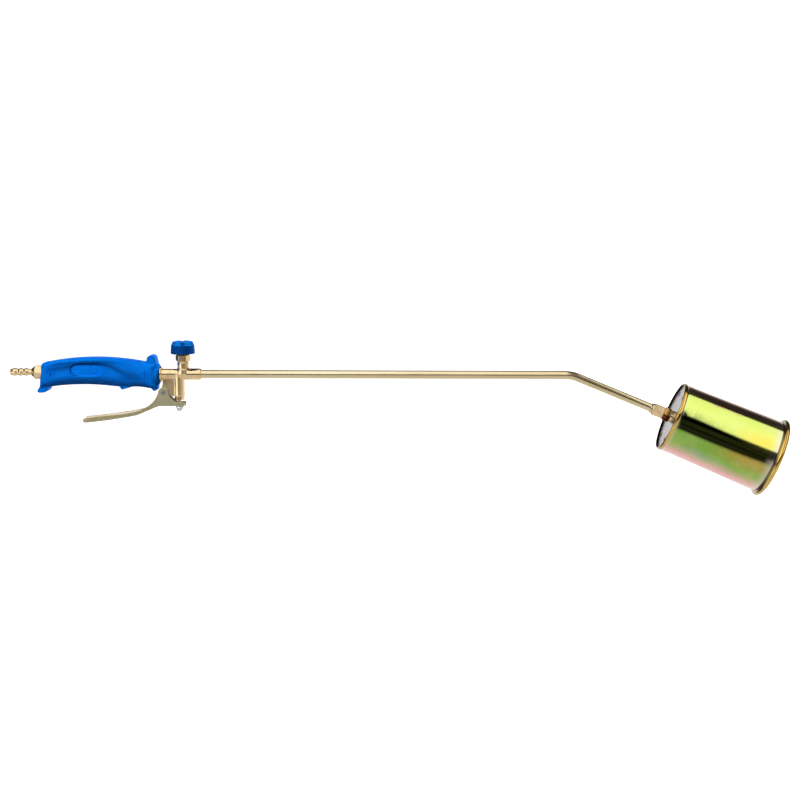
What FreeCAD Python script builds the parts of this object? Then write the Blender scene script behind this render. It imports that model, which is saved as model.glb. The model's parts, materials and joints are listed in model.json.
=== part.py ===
import FreeCAD, Part
import math
import os
import re
import Sketcher
from FreeCAD import Placement, Rotation, Vector

# A hand torch for roofing work: hose barb and grip at the rear, a brass valve with a flame knob
# on top and a squeeze lever below, a long steel lance with one bend, and a burner cup.
# Millimetres and degrees. The origin is the middle of the barb's first ridge, +X runs from the
# hose to the burner, +Z is up through the knob, and Y = 0 is the plane of symmetry.

doc = FreeCAD.newDocument("propane_torch")
sheet = doc.addObject("Spreadsheet::Sheet", "sizes")
known = set()
parts = []


# ---------------------------------------------------------------- sizes and helpers

def define(**rows):
    """Add driving dimensions to the sheet, one named row each."""
    for alias, number in rows.items():
        row = len(known) + 1
        sheet.set("A%d" % row, alias)
        sheet.set("B%d" % row, str(number))
        sheet.setAlias("B%d" % row, alias)
        known.add(alias)
    sheet.recompute()


def bound(formula):
    """Write a formula of size names the way FreeCAD expressions need it."""
    return re.sub(r"[a-z]\w*", lambda word: "sizes." + word.group() if word.group() in known
                  else word.group(), str(formula))


def value(formula):
    return float(sheet.evalExpression(bound(formula)))


def new_body(name, frame="row"):
    body = doc.addObject("PartDesign::Body", name)
    place(body, frame)
    return body


def place(piece, frame):
    """Put a piece into one of the three frames: the row's own, the valve's or the burner's."""
    if frame == "row":
        return
    piece.setExpression("Placement.Base.z", bound("-valve_drop"))
    if frame == "valve":
        piece.setExpression("Placement.Base.x", bound("valve_x"))
    if frame == "burner":
        piece.Placement = Placement(Vector(), Rotation(Vector(0, 1, 0), value("bend_angle")))
        piece.setExpression("Placement.Base.x", bound("valve_x + lance_reach"))
        piece.setExpression("Placement.Base.z", bound("-valve_drop"))
        piece.setExpression("Placement.Rotation.Angle", bound("bend_angle"))


def keep(piece):
    """Export this object as a node of its own."""
    piece.Label = piece.Name
    parts.append(piece)
    return piece


def new_sketch(body, name, plane="XZ_Plane", offset=0):
    """Attach a sketch to one of the body's own planes, moved along the plane's normal."""
    sketch = body.newObject("Sketcher::SketchObject", name)
    support = [item for item in body.Origin.OriginFeatures if item.Role == plane][0]
    sketch.AttachmentSupport = [(support, "")]
    sketch.MapMode = "FlatFace"
    sketch.setExpression("AttachmentOffset.Base.z", bound(offset))
    return sketch


def fix_point(sketch, geometry, end, x, y):
    """Tie a point to the sketch's origin with one bound distance each way."""
    for kind, formula, axis in (("DistanceX", x, -2), ("DistanceY", y, -1)):
        distance = value(formula)
        if abs(distance) < 1e-9:
            sketch.addConstraint(Sketcher.Constraint("PointOnObject", geometry, end, axis))
            continue
        index = sketch.addConstraint(Sketcher.Constraint(kind, -1, 1, geometry, end, distance))
        name = "%s_%d_%d" % (kind, geometry, end)
        sketch.renameConstraint(index, name)
        sketch.setExpression("Constraints." + name, bound(formula))


def arc_between(start, end, radius):
    """The short arc from start to end; a positive radius has its centre on the left."""
    chord = end - start
    left = Vector(-chord.y, chord.x, 0).normalize()
    rise = math.sqrt(max(radius * radius - chord.Length ** 2 / 4, 0))
    centre = (start + end) / 2 + left * math.copysign(rise, radius)
    if radius < 0:
        start, end = end, start
    angles = [math.atan2(point.y - centre.y, point.x - centre.x) for point in (start, end)]
    return Part.ArcOfCircle(Part.Circle(centre, Vector(0, 0, 1), abs(radius)), *angles)


def outline(sketch, points):
    """Close a profile through (x, y) points; a third value bends the edge that follows."""
    corners = [Vector(value(point[0]), value(point[1]), 0) for point in points]
    first = sketch.GeometryCount
    ends = []
    for index, point in enumerate(points):
        start = corners[index]
        end = corners[(index + 1) % len(points)]
        if len(point) == 2:
            sketch.addGeometry(Part.LineSegment(start, end))
            ends.append((1, 2))
        else:
            radius = value(point[2])
            geometry = sketch.addGeometry(arc_between(start, end, radius))
            ends.append((1, 2) if radius > 0 else (2, 1))
    for index, point in enumerate(points):
        following = (index + 1) % len(points)
        sketch.addConstraint(Sketcher.Constraint(
            "Coincident", first + index, ends[index][1], first + following, ends[following][0]))
        fix_point(sketch, first + index, ends[index][0], point[0], point[1])
        if len(point) == 3:
            bend = sketch.addConstraint(Sketcher.Constraint(
                "Radius", first + index, abs(value(point[2]))))
            name = "Radius_%d" % (first + index)
            sketch.renameConstraint(bend, name)
            sketch.setExpression("Constraints." + name, bound("abs(%s)" % point[2]))
    return sketch


def circle(sketch, radius, x=0, y=0):
    centre = Vector(value(x), value(y), 0)
    geometry = sketch.addGeometry(Part.Circle(centre, Vector(0, 0, 1), value(radius)))
    fix_point(sketch, geometry, 3, x, y)
    index = sketch.addConstraint(Sketcher.Constraint("Radius", geometry, value(radius)))
    name = "Radius_%d" % geometry
    sketch.renameConstraint(index, name)
    sketch.setExpression("Constraints." + name, bound(radius))
    return sketch


def polygon_points(flats, sides=6, turn=0):
    """Corners of a regular polygon, given across its flats."""
    corner = "(%s) / 2 / cos(%s)" % (flats, 180 / sides)
    angles = [turn + 360 * side / sides for side in range(sides)]
    return [("%s * cos(%s)" % (corner, angle), "%s * sin(%s)" % (corner, angle))
            for angle in angles]


def finish_feature(body, feature, grows):
    """Recompute, and stop if a feature added or removed nothing."""
    before = feature.BaseFeature.Shape.Volume if feature.BaseFeature else 0
    doc.recompute()
    change = feature.Shape.Volume - before
    if (change > 0) != grows or abs(change) < 1e-6:
        raise RuntimeError("%s changes the volume of %s by %.3f"
                           % (feature.Name, body.Name, change))
    return feature


def revolve(body, name, points, axis="H_Axis", cut=False):
    """Turn a profile round the sketch's horizontal (X) or vertical (Z) axis."""
    sketch = outline(new_sketch(body, name + "_profile"), points)
    kind = "PartDesign::Groove" if cut else "PartDesign::Revolution"
    feature = body.newObject(kind, name)
    feature.Profile = sketch
    feature.ReferenceAxis = (sketch, [axis])
    feature.Angle = 360
    sketch.Visibility = False
    return finish_feature(body, feature, not cut)


def extrude(body, name, sketch, length, cut=False, flip=False, both=False):
    """Pad or pocket a sketch; a pocket runs against the plane's normal unless flipped."""
    feature = body.newObject("PartDesign::Pocket" if cut else "PartDesign::Pad", name)
    feature.Profile = sketch
    feature.setExpression("Length", bound(length))
    feature.Reversed = flip
    if both:
        feature.SideType = "Symmetric"
    return finish_feature(body, feature, not cut)


def hex_flats(body, name, flats, start, end, plane="YZ_Plane", turn=0):
    """Cut six flats on a turned blank between two stations along the plane's normal."""
    sketch = new_sketch(body, name + "_section", plane, end)
    circle(sketch, "(%s)" % flats)
    outline(sketch, polygon_points(flats, turn=turn))
    return extrude(body, name, sketch, "(%s) - (%s)" % (end, start), cut=True)


def round_edges(body, name, radius, test, kind="PartDesign::Fillet"):
    """Fillet or chamfer the edges of the body's tip that pass a test."""
    base = body.Tip
    chosen = ["Edge%d" % (index + 1) for index, edge in enumerate(base.Shape.Edges)
              if test(edge)]
    feature = body.newObject(kind, name)
    feature.Base = (base, chosen)
    feature.setExpression("Radius" if kind.endswith("Fillet") else "Size", bound(radius))
    doc.recompute()
    return feature


# ---------------------------------------------------------------- shared dimensions

define(
    valve_x=205,          # first barb ridge to the knob's axis
    valve_drop=2,         # the lance lies this far below the hose barb's axis
    lance_reach=466.5,    # knob's axis to the corner of the bend
    bend_angle=22.5,
    bend_radius=40,
    burner_reach=112,     # corner of the bend to the lance's end
    tube_radius=5,
    tube_bore=3.5,
    slip=0.05,            # radial clearance of every fitted pair
    gas_bore=2.2,
)


# ---------------------------------------------------------------- hose end

def hose_barb():
    """Turned brass nipple with three ridges and a collar that the union nut traps."""
    define(barb_tip=-5.9, tip_radius=3.4, crest=4.85, crest_half=0.75, ridge_pitch=6.6,
           valley_arc=3.4, tail_start=16.6, tail_radius=3.9, collar_start=25.2,
           collar_end=27.6, collar_radius=5.7)
    body = new_body("hose_barb")
    points = [("barb_tip", "gas_bore"), ("barb_tip", "tip_radius"),
              ("-crest_half - 3", "crest - 0.6")]
    for ridge in range(3):
        centre = "ridge_pitch * %d" % ridge
        points.append((centre + " - crest_half", "crest"))
        points.append((centre + " + crest_half", "crest", "valley_arc"))
    points += [("tail_start", "tail_radius"), ("collar_start", "tail_radius"),
               ("collar_start", "collar_radius"), ("collar_end", "collar_radius"),
               ("collar_end", "gas_bore")]
    revolve(body, "turned", points)
    keep(body)


def hose_union_nut():
    """Hexagon union nut with a conical neck, threaded inside."""
    define(nut_flats=16, nut_neck=20.6, nut_hex=24.0, nut_end=36, thread_radius=6.3)
    body = new_body("hose_union_nut")
    revolve(body, "turned", [
        ("nut_neck", "tail_radius + 0.2"), ("nut_neck", "nut_flats / 2 - 3.2"),
        ("nut_hex - 0.4", "nut_flats / 2 - 1"), ("nut_hex", "nut_flats / 2"),
        ("nut_hex + 1", "nut_flats / 2 + 1.3"), ("nut_end - 1", "nut_flats / 2 + 1.3"),
        ("nut_end", "nut_flats / 2"), ("nut_end", "thread_radius + slip"),
        ("collar_start - slip", "thread_radius + slip"),
        ("collar_start - slip", "tail_radius + 0.2")])
    hex_flats(body, "flats", "nut_flats", "nut_hex - 1", "nut_end + 1")
    keep(body)


def hose_seal():
    """Fibre washer squeezed between the nipple and the inlet adapter."""
    define(seal_thickness=1.4)
    body = new_body("hose_seal")
    sketch = new_sketch(body, "ring", "YZ_Plane", "collar_end")
    circle(sketch, "collar_radius")
    circle(sketch, "gas_bore + 0.4")
    extrude(body, "washer", sketch, "seal_thickness")
    keep(body)


def inlet_adapter():
    """Threaded stub brazed to the rear end of the inlet tube."""
    define(adapter_shoulder=36.2, adapter_end=44, shoulder_radius=8, socket_start=33)
    body = new_body("inlet_adapter")
    revolve(body, "turned", [
        ("collar_end + seal_thickness", "gas_bore"),
        ("collar_end + seal_thickness", "thread_radius"),
        ("adapter_shoulder", "thread_radius"), ("adapter_shoulder", "shoulder_radius"),
        ("adapter_end", "shoulder_radius"), ("adapter_end", "tube_radius + slip"),
        ("socket_start", "tube_radius + slip"), ("socket_start", "gas_bore")])
    keep(body)


def pipe(name, frame, points, start, bends, profile_plane):
    """Sweep the tube's section along straight runs joined by tangent arcs."""
    body = new_body(name, frame)
    path = new_sketch(body, name + "_path")
    corners = [Vector(value(x), value(y), 0) for x, y in points]
    for index in range(len(corners) - 1):
        if index in bends:
            path.addGeometry(arc_between(corners[index], corners[index + 1],
                                         value(bends[index])))
        else:
            path.addGeometry(Part.LineSegment(corners[index], corners[index + 1]))
    for index in range(len(corners) - 1):
        forward = index not in bends or value(bends[index]) > 0
        fix_point(path, index, 1 if forward else 2, *points[index])
        fix_point(path, index, 2 if forward else 1, *points[index + 1])
        if index in bends:
            radius = path.addConstraint(Sketcher.Constraint(
                "Radius", index, abs(value(bends[index]))))
            path.renameConstraint(radius, "bend_%d" % index)
            path.setExpression("Constraints.bend_%d" % index, bound("abs(%s)" % bends[index]))
    section = new_sketch(body, name + "_section", profile_plane, start)
    height = points[0][1]
    circle(section, "tube_radius", 0, height)
    circle(section, "tube_bore", 0, height)
    feature = body.newObject("PartDesign::AdditivePipe", "swept")
    feature.Profile = section
    feature.Spine = (path, [])
    finish_feature(body, feature, True)
    return keep(body)


def inlet_tube():
    """Steel tube inside the grip, set down by a shallow double bend."""
    define(set_start=80, set_half=25, inlet_tube_end=176)
    define(set_radius=value("set_half ^ 2 / valve_drop + valve_drop / 4"))
    pipe("inlet_tube", "row", [
        ("socket_start + slip", "0"), ("set_start", "0"),
        ("set_start + set_half", "-valve_drop / 2"), ("set_start + 2 * set_half", "-valve_drop"),
        ("inlet_tube_end", "-valve_drop")],
        "socket_start + slip", {1: "-set_radius", 2: "set_radius"}, "YZ_Plane")


# ---------------------------------------------------------------- grip

def handle_blank():
    """The moulded grip as one solid, before it is parted into two shells."""
    define(grip_width=28, grip_rear=33.4, grip_front=174, grip_top=12.6, crown_arc=310,
           belly=-17.4, belly_arc=301, grip_fillet=7, hook_width=21, thumb_radius=5.6,
           boss_radius=13.2, boss_end=176.7, collar_fillet=2.6, crown_start=41, crown_end=157)
    body = new_body("handle_blank")
    side = outline(new_sketch(body, "side_view"), [
        ("grip_rear", "grip_top - 5", "-5.2"), ("grip_rear + 5", "grip_top"),
        ("crown_start", "grip_top + 0.3", "-crown_arc"), ("crown_end", "grip_top + 0.6"),
        ("grip_front", "grip_top - 1"), ("grip_front", "belly - 1.5"),
        ("grip_front - 10", "belly - 1", "70"), ("grip_front - 34", "belly + 0.3"),
        ("grip_front - 50", "belly + 1", "belly_arc"), ("crown_start", "belly"),
        ("grip_rear - 2.4", "belly - 1")])
    extrude(body, "grip", side, "grip_width", both=True)
    half = value("grip_width / 2")
    round_edges(body, "palm_rounding", "grip_fillet", lambda edge: all(
        abs(abs(vertex.Y) - half) < 1e-6 for vertex in edge.Vertexes)
        and edge.BoundBox.YLength < 1e-6)
    hooks = {
        "thumb_rest": [("crown_end - 4", "grip_top - 2"), ("crown_end", "grip_top + 0.2", "5"),
                       ("grip_front - 12.1", "grip_top + 2.4", "-thumb_radius"),
                       ("grip_front - 1.1", "grip_top + 2.4"), ("grip_front", "grip_top - 4")],
        "rear_hook": [("grip_rear + 0.2", "belly + 4"), ("grip_rear + 12", "belly + 4"),
                      ("grip_rear + 8.8", "belly - 0.4", "-7.5"),
                      ("grip_rear + 2", "belly - 6.7"), ("grip_rear - 1.8", "belly - 6.9", "-3.8"),
                      ("grip_rear - 5.3", "belly - 4.2")],
        "finger_stop": [("grip_front - 48", "belly + 4"), ("grip_front - 31", "belly + 4"),
                        ("grip_front - 31", "belly + 0.2"),
                        ("grip_front - 40.6", "belly - 2.6", "-2.6"),
                        ("grip_front - 44.4", "belly - 1.4")],
        "front_lobe": [("grip_front - 11", "belly + 4"), ("grip_front", "belly + 4"),
                       ("grip_front - 0.4", "belly - 2.9", "-2.6"),
                       ("grip_front - 4.4", "belly - 3.5")],
    }
    for name, points in hooks.items():
        sketch = outline(new_sketch(body, name + "_view"), points)
        extrude(body, name, sketch, "hook_width", both=True)
    collar = new_sketch(body, "collar_ring", "YZ_Plane", "grip_front - 6")
    circle(collar, "boss_radius", 0, "-valve_drop")
    extrude(body, "front_collar", collar, "boss_end - grip_front + 6")
    rim = value("boss_end")
    round_edges(body, "collar_rounding", "collar_fillet",
                lambda edge: abs(edge.BoundBox.XMin - rim) < 1e-3
                and abs(edge.BoundBox.XMax - rim) < 1e-3)
    return body


def handle_hollow(body):
    """Rooms between the ribs, the tube's way through them, and the two end openings."""
    define(room_start=50, room_length=26, rib=3.2, rooms=4, room_width=21, room_top=8.5,
           room_floor=-12.5, nut_room=10.6, spigot_radius=6.45)
    for room in range(int(value("rooms"))):
        start = "room_start + %d * (room_length + rib)" % room
        end = start + " + room_length"
        sketch = outline(new_sketch(body, "room_%d_view" % room), [
            (start, "room_floor"), (end, "room_floor"), (end, "room_top"), (start, "room_top")])
        extrude(body, "room_%d" % room, sketch, "room_width", cut=True, both=True)
    bore = new_sketch(body, "tube_way_ring", "YZ_Plane", "boss_end")
    circle(bore, "tube_radius + 1.2", 0, "-valve_drop / 2")
    extrude(body, "tube_way", bore, "boss_end - adapter_end", cut=True)
    rear = new_sketch(body, "nut_way_ring", "YZ_Plane", "adapter_end + 0.3")
    circle(rear, "nut_room")
    extrude(body, "nut_way", rear, "adapter_end + 20", cut=True)
    front = new_sketch(body, "spigot_way_ring", "YZ_Plane", "boss_end + 1")
    circle(front, "spigot_radius + slip", 0, "-valve_drop")
    extrude(body, "spigot_way", front, "boss_end + 1.3 - valve_x + 36", cut=True)
    return body


def bar(name, radius, x, z, start, end):
    """A round bar across the grip, used to bore screw holes."""
    piece = doc.addObject("Part::Cylinder", name)
    piece.setExpression("Radius", bound(radius))
    piece.setExpression("Height", bound("(%s) - (%s)" % (end, start)))
    piece.Placement = Placement(Vector(), Rotation(Vector(1, 0, 0), -90))
    for axis, formula in (("x", x), ("y", start), ("z", z)):
        piece.setExpression("Placement.Base." + axis, bound(formula))
    return piece


def join(kind, name, *pieces):
    """Fuse or cut Part objects: the first piece is the base, the rest are its tools."""
    if kind == "Part::MultiFuse":
        result = doc.addObject(kind, name)
        result.Shapes = list(pieces)
        return result
    result = doc.addObject(kind, name)
    result.Base = pieces[0]
    result.Tool = pieces[1]
    return result


SHELL_SCREWS = (("62.8", "9.2"), ("107", "-10.4"), ("150.2", "8.8"))
CLAMP_SCREWS = (("46.6", "0"), ("161", "-valve_drop - 0.4"))


def handle():
    """Two shells, the screws that join them and the screws that clamp the inlet tube."""
    define(shell_screw=1.5, shell_head=2.8, head_depth=2.2, shell_face=11.2,
           clamp_screw=2.4, clamp_head=4.1, clamp_head_depth=2.4, clamp_face=13.6,
           clamp_slot=0.9, shell_screw_tip=-9)
    blank = handle_hollow(handle_blank())
    half_spaces = {}
    for side, start in (("right", "-40"), ("left", "0")):
        block = doc.addObject("Part::Box", side + "_side")
        block.Length, block.Width, block.Height = 300, 40, 120
        block.Placement.Base = Vector(-40, value(start), -60)
        half_spaces[side] = block
    bores = {"right": [], "left": []}
    screws = []
    for index, (x, z) in enumerate(SHELL_SCREWS):
        bores["right"].append(bar("shell_pilot_%d" % index, "shell_screw + slip", x, z,
                                  "shell_screw_tip - 0.2", "0"))
        bores["left"].append(bar("shell_hole_%d" % index, "shell_screw + 0.2", x, z,
                                 "-1", "grip_width"))
        bores["left"].append(bar("head_hole_%d" % index, "shell_head + 0.2", x, z,
                                 "shell_face - head_depth", "grip_width"))
        screws.append(bar("shell_shank_%d" % index, "shell_screw", x, z,
                          "shell_screw_tip", "shell_face - head_depth"))
        screws.append(bar("shell_screw_head_%d" % index, "shell_head", x, z,
                          "shell_face - head_depth", "shell_face"))
    clamps = []
    for index, (x, z) in enumerate(CLAMP_SCREWS):
        bores["right"].append(bar("clamp_hole_%d" % index, "clamp_screw + slip", x, z,
                                  "-clamp_face", "-2"))
        bores["right"].append(bar("clamp_head_hole_%d" % index, "clamp_head + 0.2", x, z,
                                  "-grip_width", "clamp_head_depth - clamp_face"))
        shank = bar("clamp_shank_%d" % index, "clamp_screw", x, z,
                    "clamp_head_depth - clamp_face", "-tube_radius - slip")
        head = bar("clamp_screw_head_%d" % index, "clamp_head", x, z,
                   "-clamp_face", "clamp_head_depth - clamp_face")
        slot = doc.addObject("Part::Box", "clamp_slot_%d" % index)
        slot.setExpression("Length", bound("clamp_slot"))
        slot.setExpression("Width", bound("clamp_head_depth / 2"))
        slot.setExpression("Height", bound("4 * clamp_head"))
        slot.setExpression("Placement.Base.x", bound(x + " - clamp_slot / 2"))
        slot.setExpression("Placement.Base.y", bound("-clamp_face"))
        slot.setExpression("Placement.Base.z", bound(z + " - 2 * clamp_head"))
        whole = join("Part::MultiFuse", "clamp_blank_%d" % index, shank, head)
        clamps.append(join("Part::Cut", "clamp_screw_%d" % index, whole, slot))
    for side in ("right", "left"):
        shell = join("Part::Common", side + "_blank", blank, half_spaces[side])
        tools = join("Part::MultiFuse", side + "_bores", *bores[side])
        keep(join("Part::Cut", "handle_%s_shell" % side, shell, tools))
    keep(join("Part::MultiFuse", "handle_shell_screws", *screws))
    group = doc.addObject("Part::Compound", "handle_clamp_screws")
    group.Links = clamps
    keep(group)


# ---------------------------------------------------------------- valve

def valve_body():
    """Brass body: inlet and outlet in line, bonnet above, plunger branch and lever lug below."""
    define(spigot_end=-36, flange_start=-28.2, flange_width=2.4, flange_radius=9.1,
           outlet_radius=6.9, outlet_end=22, bonnet_radius=6.9, bonnet_top=15.6,
           branch_x=-5.2, branch_radius=6.6, branch_bottom=-28, branch_bore=5.2,
           branch_roof=-9, seat_radius=2, pivot_x=-23.7, pivot_z=-22.2, pin_radius=1.6,
           lug_radius=5, lug_width=8.8, passage=2.5, gland_bore=5, gland_floor=8,
           spindle_radius=2.4)
    body = new_body("valve_body", "valve")
    revolve(body, "through_body", [
        ("spigot_end", "0"), ("spigot_end", "spigot_radius"), ("flange_start", "spigot_radius"),
        ("flange_start", "flange_radius - 0.4"), ("flange_start + 0.4", "flange_radius"),
        ("flange_start + flange_width - 0.4", "flange_radius"),
        ("flange_start + flange_width", "flange_radius - 0.4"),
        ("flange_start + flange_width", "spigot_radius"), ("-8", "spigot_radius"),
        ("-6", "outlet_radius"), ("outlet_end - 1.6", "outlet_radius"),
        ("outlet_end - 1.6", "outlet_radius - 0.3"), ("outlet_end - 0.4", "outlet_radius - 0.3"),
        ("outlet_end", "outlet_radius - 0.7"), ("outlet_end", "0")])
    revolve(body, "bonnet", [
        ("0", "0"), ("bonnet_radius + 1.2", "0"), ("bonnet_radius + 1.2", "5.6", "-2.2"),
        ("bonnet_radius", "8"), ("bonnet_radius", "bonnet_top - 2"),
        ("bonnet_radius - 0.7", "bonnet_top - 1.6"), ("bonnet_radius - 0.7", "bonnet_top - 1"),
        ("bonnet_radius", "bonnet_top - 0.6"), ("bonnet_radius", "bonnet_top"),
        ("0", "bonnet_top")], "V_Axis")
    branch = new_sketch(body, "branch_ring", "XY_Plane", 0)
    circle(branch, "branch_radius", "branch_x", 0)
    extrude(body, "branch", branch, "-branch_bottom", flip=True)
    low = value("branch_bottom")
    round_edges(body, "branch_chamfer", "1.6",
                lambda edge: edge.BoundBox.ZMax < low + 1e-3, "PartDesign::Chamfer")
    lug = outline(new_sketch(body, "lug_view"), [
        ("pivot_x - 1", "0"), ("branch_x", "0"), ("branch_x", "branch_bottom + 2"),
        ("pivot_x", "pivot_z - lug_radius", "-lug_radius"),
        ("pivot_x - lug_radius", "pivot_z"), ("pivot_x - 1", "pivot_z + 10")])
    extrude(body, "lug", lug, "lug_width", both=True)
    pivot = circle(new_sketch(body, "pivot_hole_ring"), "pin_radius + slip", "pivot_x", "pivot_z")
    extrude(body, "pivot_hole", pivot, "2 * lug_width", cut=True, both=True)
    revolve(body, "gas_way", [
        ("spigot_end", "0"), ("spigot_end", "tube_radius + slip"),
        ("inlet_tube_end - valve_x + slip", "tube_radius + slip"),
        ("inlet_tube_end - valve_x + slip", "passage"), ("outlet_end - 9.5", "passage"),
        ("outlet_end - 9.5", "tube_radius + slip"), ("outlet_end", "tube_radius + slip"),
        ("outlet_end", "0")], cut=True)
    revolve(body, "spindle_way", [
        ("0", "0"), ("spindle_radius + slip", "0"), ("spindle_radius + slip", "gland_floor"),
        ("gland_bore", "gland_floor"), ("gland_bore", "bonnet_top"), ("0", "bonnet_top")],
        "V_Axis", cut=True)
    chamber = new_sketch(body, "chamber_ring", "XY_Plane", "branch_roof")
    circle(chamber, "branch_bore", "branch_x", 0)
    extrude(body, "chamber", chamber, "20 - branch_bottom", cut=True)
    seat = new_sketch(body, "seat_ring", "XY_Plane", 0)
    circle(seat, "seat_radius", "branch_x", 0)
    extrude(body, "seat_hole", seat, "-branch_roof + 1", cut=True)
    keep(body)


def gland():
    """Packing, gland nut, needle spindle, knob and the knob's screw on the bonnet's axis."""
    define(gland_flats=15.2, gland_low=15.8, gland_high=23.6, packing_height=3,
           spindle_top=36, needle_tip=-2.2, knob_low=24.8, skirt_high=35.8, knob_high=39.8,
           skirt_low_radius=14.6, skirt_radius=13.8, crown_radius=12.9, lobes=6,
           lobe_radius=2.6, lobe_turn=12, knob_recess=29, knob_hub=5, screw_head=3.2, screw_shank=1.45,
           screw_head_low=36.8, screw_tip=27)
    body = new_body("spindle_packing", "valve")
    ring = new_sketch(body, "ring", "XY_Plane", "gland_floor")
    circle(ring, "gland_bore - slip")
    circle(ring, "spindle_radius + slip")
    extrude(body, "packing", ring, "packing_height")
    keep(body)

    body = new_body("gland_nut", "valve")
    corner = "gland_flats / 2 + 1.3"
    hole = "spindle_radius + slip"
    bottom = "gland_floor + packing_height"
    revolve(body, "turned", [
        (hole, bottom), ("gland_bore - slip", bottom), ("gland_bore - slip", "gland_low"),
        ("gland_flats / 2 - 0.2", "gland_low"), (corner, "gland_low + 0.8"),
        (corner, "gland_high - 0.8"), ("gland_flats / 2 - 0.2", "gland_high"),
        (hole, "gland_high")], "V_Axis")
    hex_flats(body, "flats", "gland_flats", "gland_low", "gland_high + 1", "XY_Plane", turn=5)
    keep(body)

    body = new_body("needle_spindle", "valve")
    revolve(body, "turned", [
        ("0", "needle_tip"), ("0.4", "needle_tip"), ("1.6", "needle_tip + 4"),
        ("spindle_radius", "needle_tip + 5"), ("spindle_radius", "spindle_top"),
        ("screw_shank + slip", "spindle_top"), ("screw_shank + slip", "screw_tip - 0.5"),
        ("0", "screw_tip - 0.5")], "V_Axis")
    keep(body)

    body = new_body("knob", "valve")
    revolve(body, "moulded", [
        ("spindle_radius + slip", "knob_low + 1"), ("knob_hub", "knob_low + 1"),
        ("knob_hub", "knob_recess"), ("skirt_radius - 2.2", "knob_recess"),
        ("skirt_low_radius - 2.2", "knob_low"), ("skirt_low_radius - 0.5", "knob_low"),
        ("skirt_low_radius", "knob_low + 0.6"), ("skirt_radius", "skirt_high - 0.4"),
        ("crown_radius", "skirt_high"), ("crown_radius - 0.5", "knob_high - 1.6", "1.8"),
        ("crown_radius - 2", "knob_high"), ("6.6", "knob_high"), ("5.6", "knob_high - 1.6"),
        ("screw_head + 0.3", "knob_high - 1.6"), ("screw_head + 0.3", "screw_head_low"),
        ("screw_shank + 0.1", "screw_head_low"), ("screw_shank + 0.1", "spindle_top + slip"),
        ("spindle_radius + slip", "spindle_top + slip")], "V_Axis")
    notch = new_sketch(body, "notch_ring", "XY_Plane", "knob_high + 1")
    circle(notch, "lobe_radius", "(crown_radius + 0.9) * sin(lobe_turn)",
           "-(crown_radius + 0.9) * cos(lobe_turn)")
    cut = extrude(body, "notch", notch, "knob_high + 1 - skirt_high", cut=True)
    pattern = body.newObject("PartDesign::PolarPattern", "lobed_crown")
    pattern.Originals = [cut]
    pattern.Axis = (notch, ["N_Axis"])
    pattern.Angle = 360
    pattern.setExpression("Occurrences", bound("lobes"))
    body.Tip = pattern
    keep(body)

    body = new_body("knob_screw", "valve")
    revolve(body, "turned", [
        ("0", "screw_tip"), ("screw_shank", "screw_tip"), ("screw_shank", "screw_head_low"),
        ("screw_head", "screw_head_low"), ("screw_head", "screw_head_low + 1.2", "3"),
        ("screw_head - 1.2", "screw_head_low + 2"), ("0", "screw_head_low + 2")], "V_Axis")
    slot = new_sketch(body, "slot_view", "XY_Plane", "screw_head_low + 3")
    outline(slot, [("-4", "-0.4"), ("4", "-0.4"), ("4", "0.4"), ("-4", "0.4")])
    extrude(body, "slot", slot, "2", cut=True)
    keep(body)


def branch_frame(body):
    """Move a turned piece from the bonnet's axis to the plunger's axis."""
    body.setExpression("Placement.Base.x", bound("valve_x + branch_x"))
    return body


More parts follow.
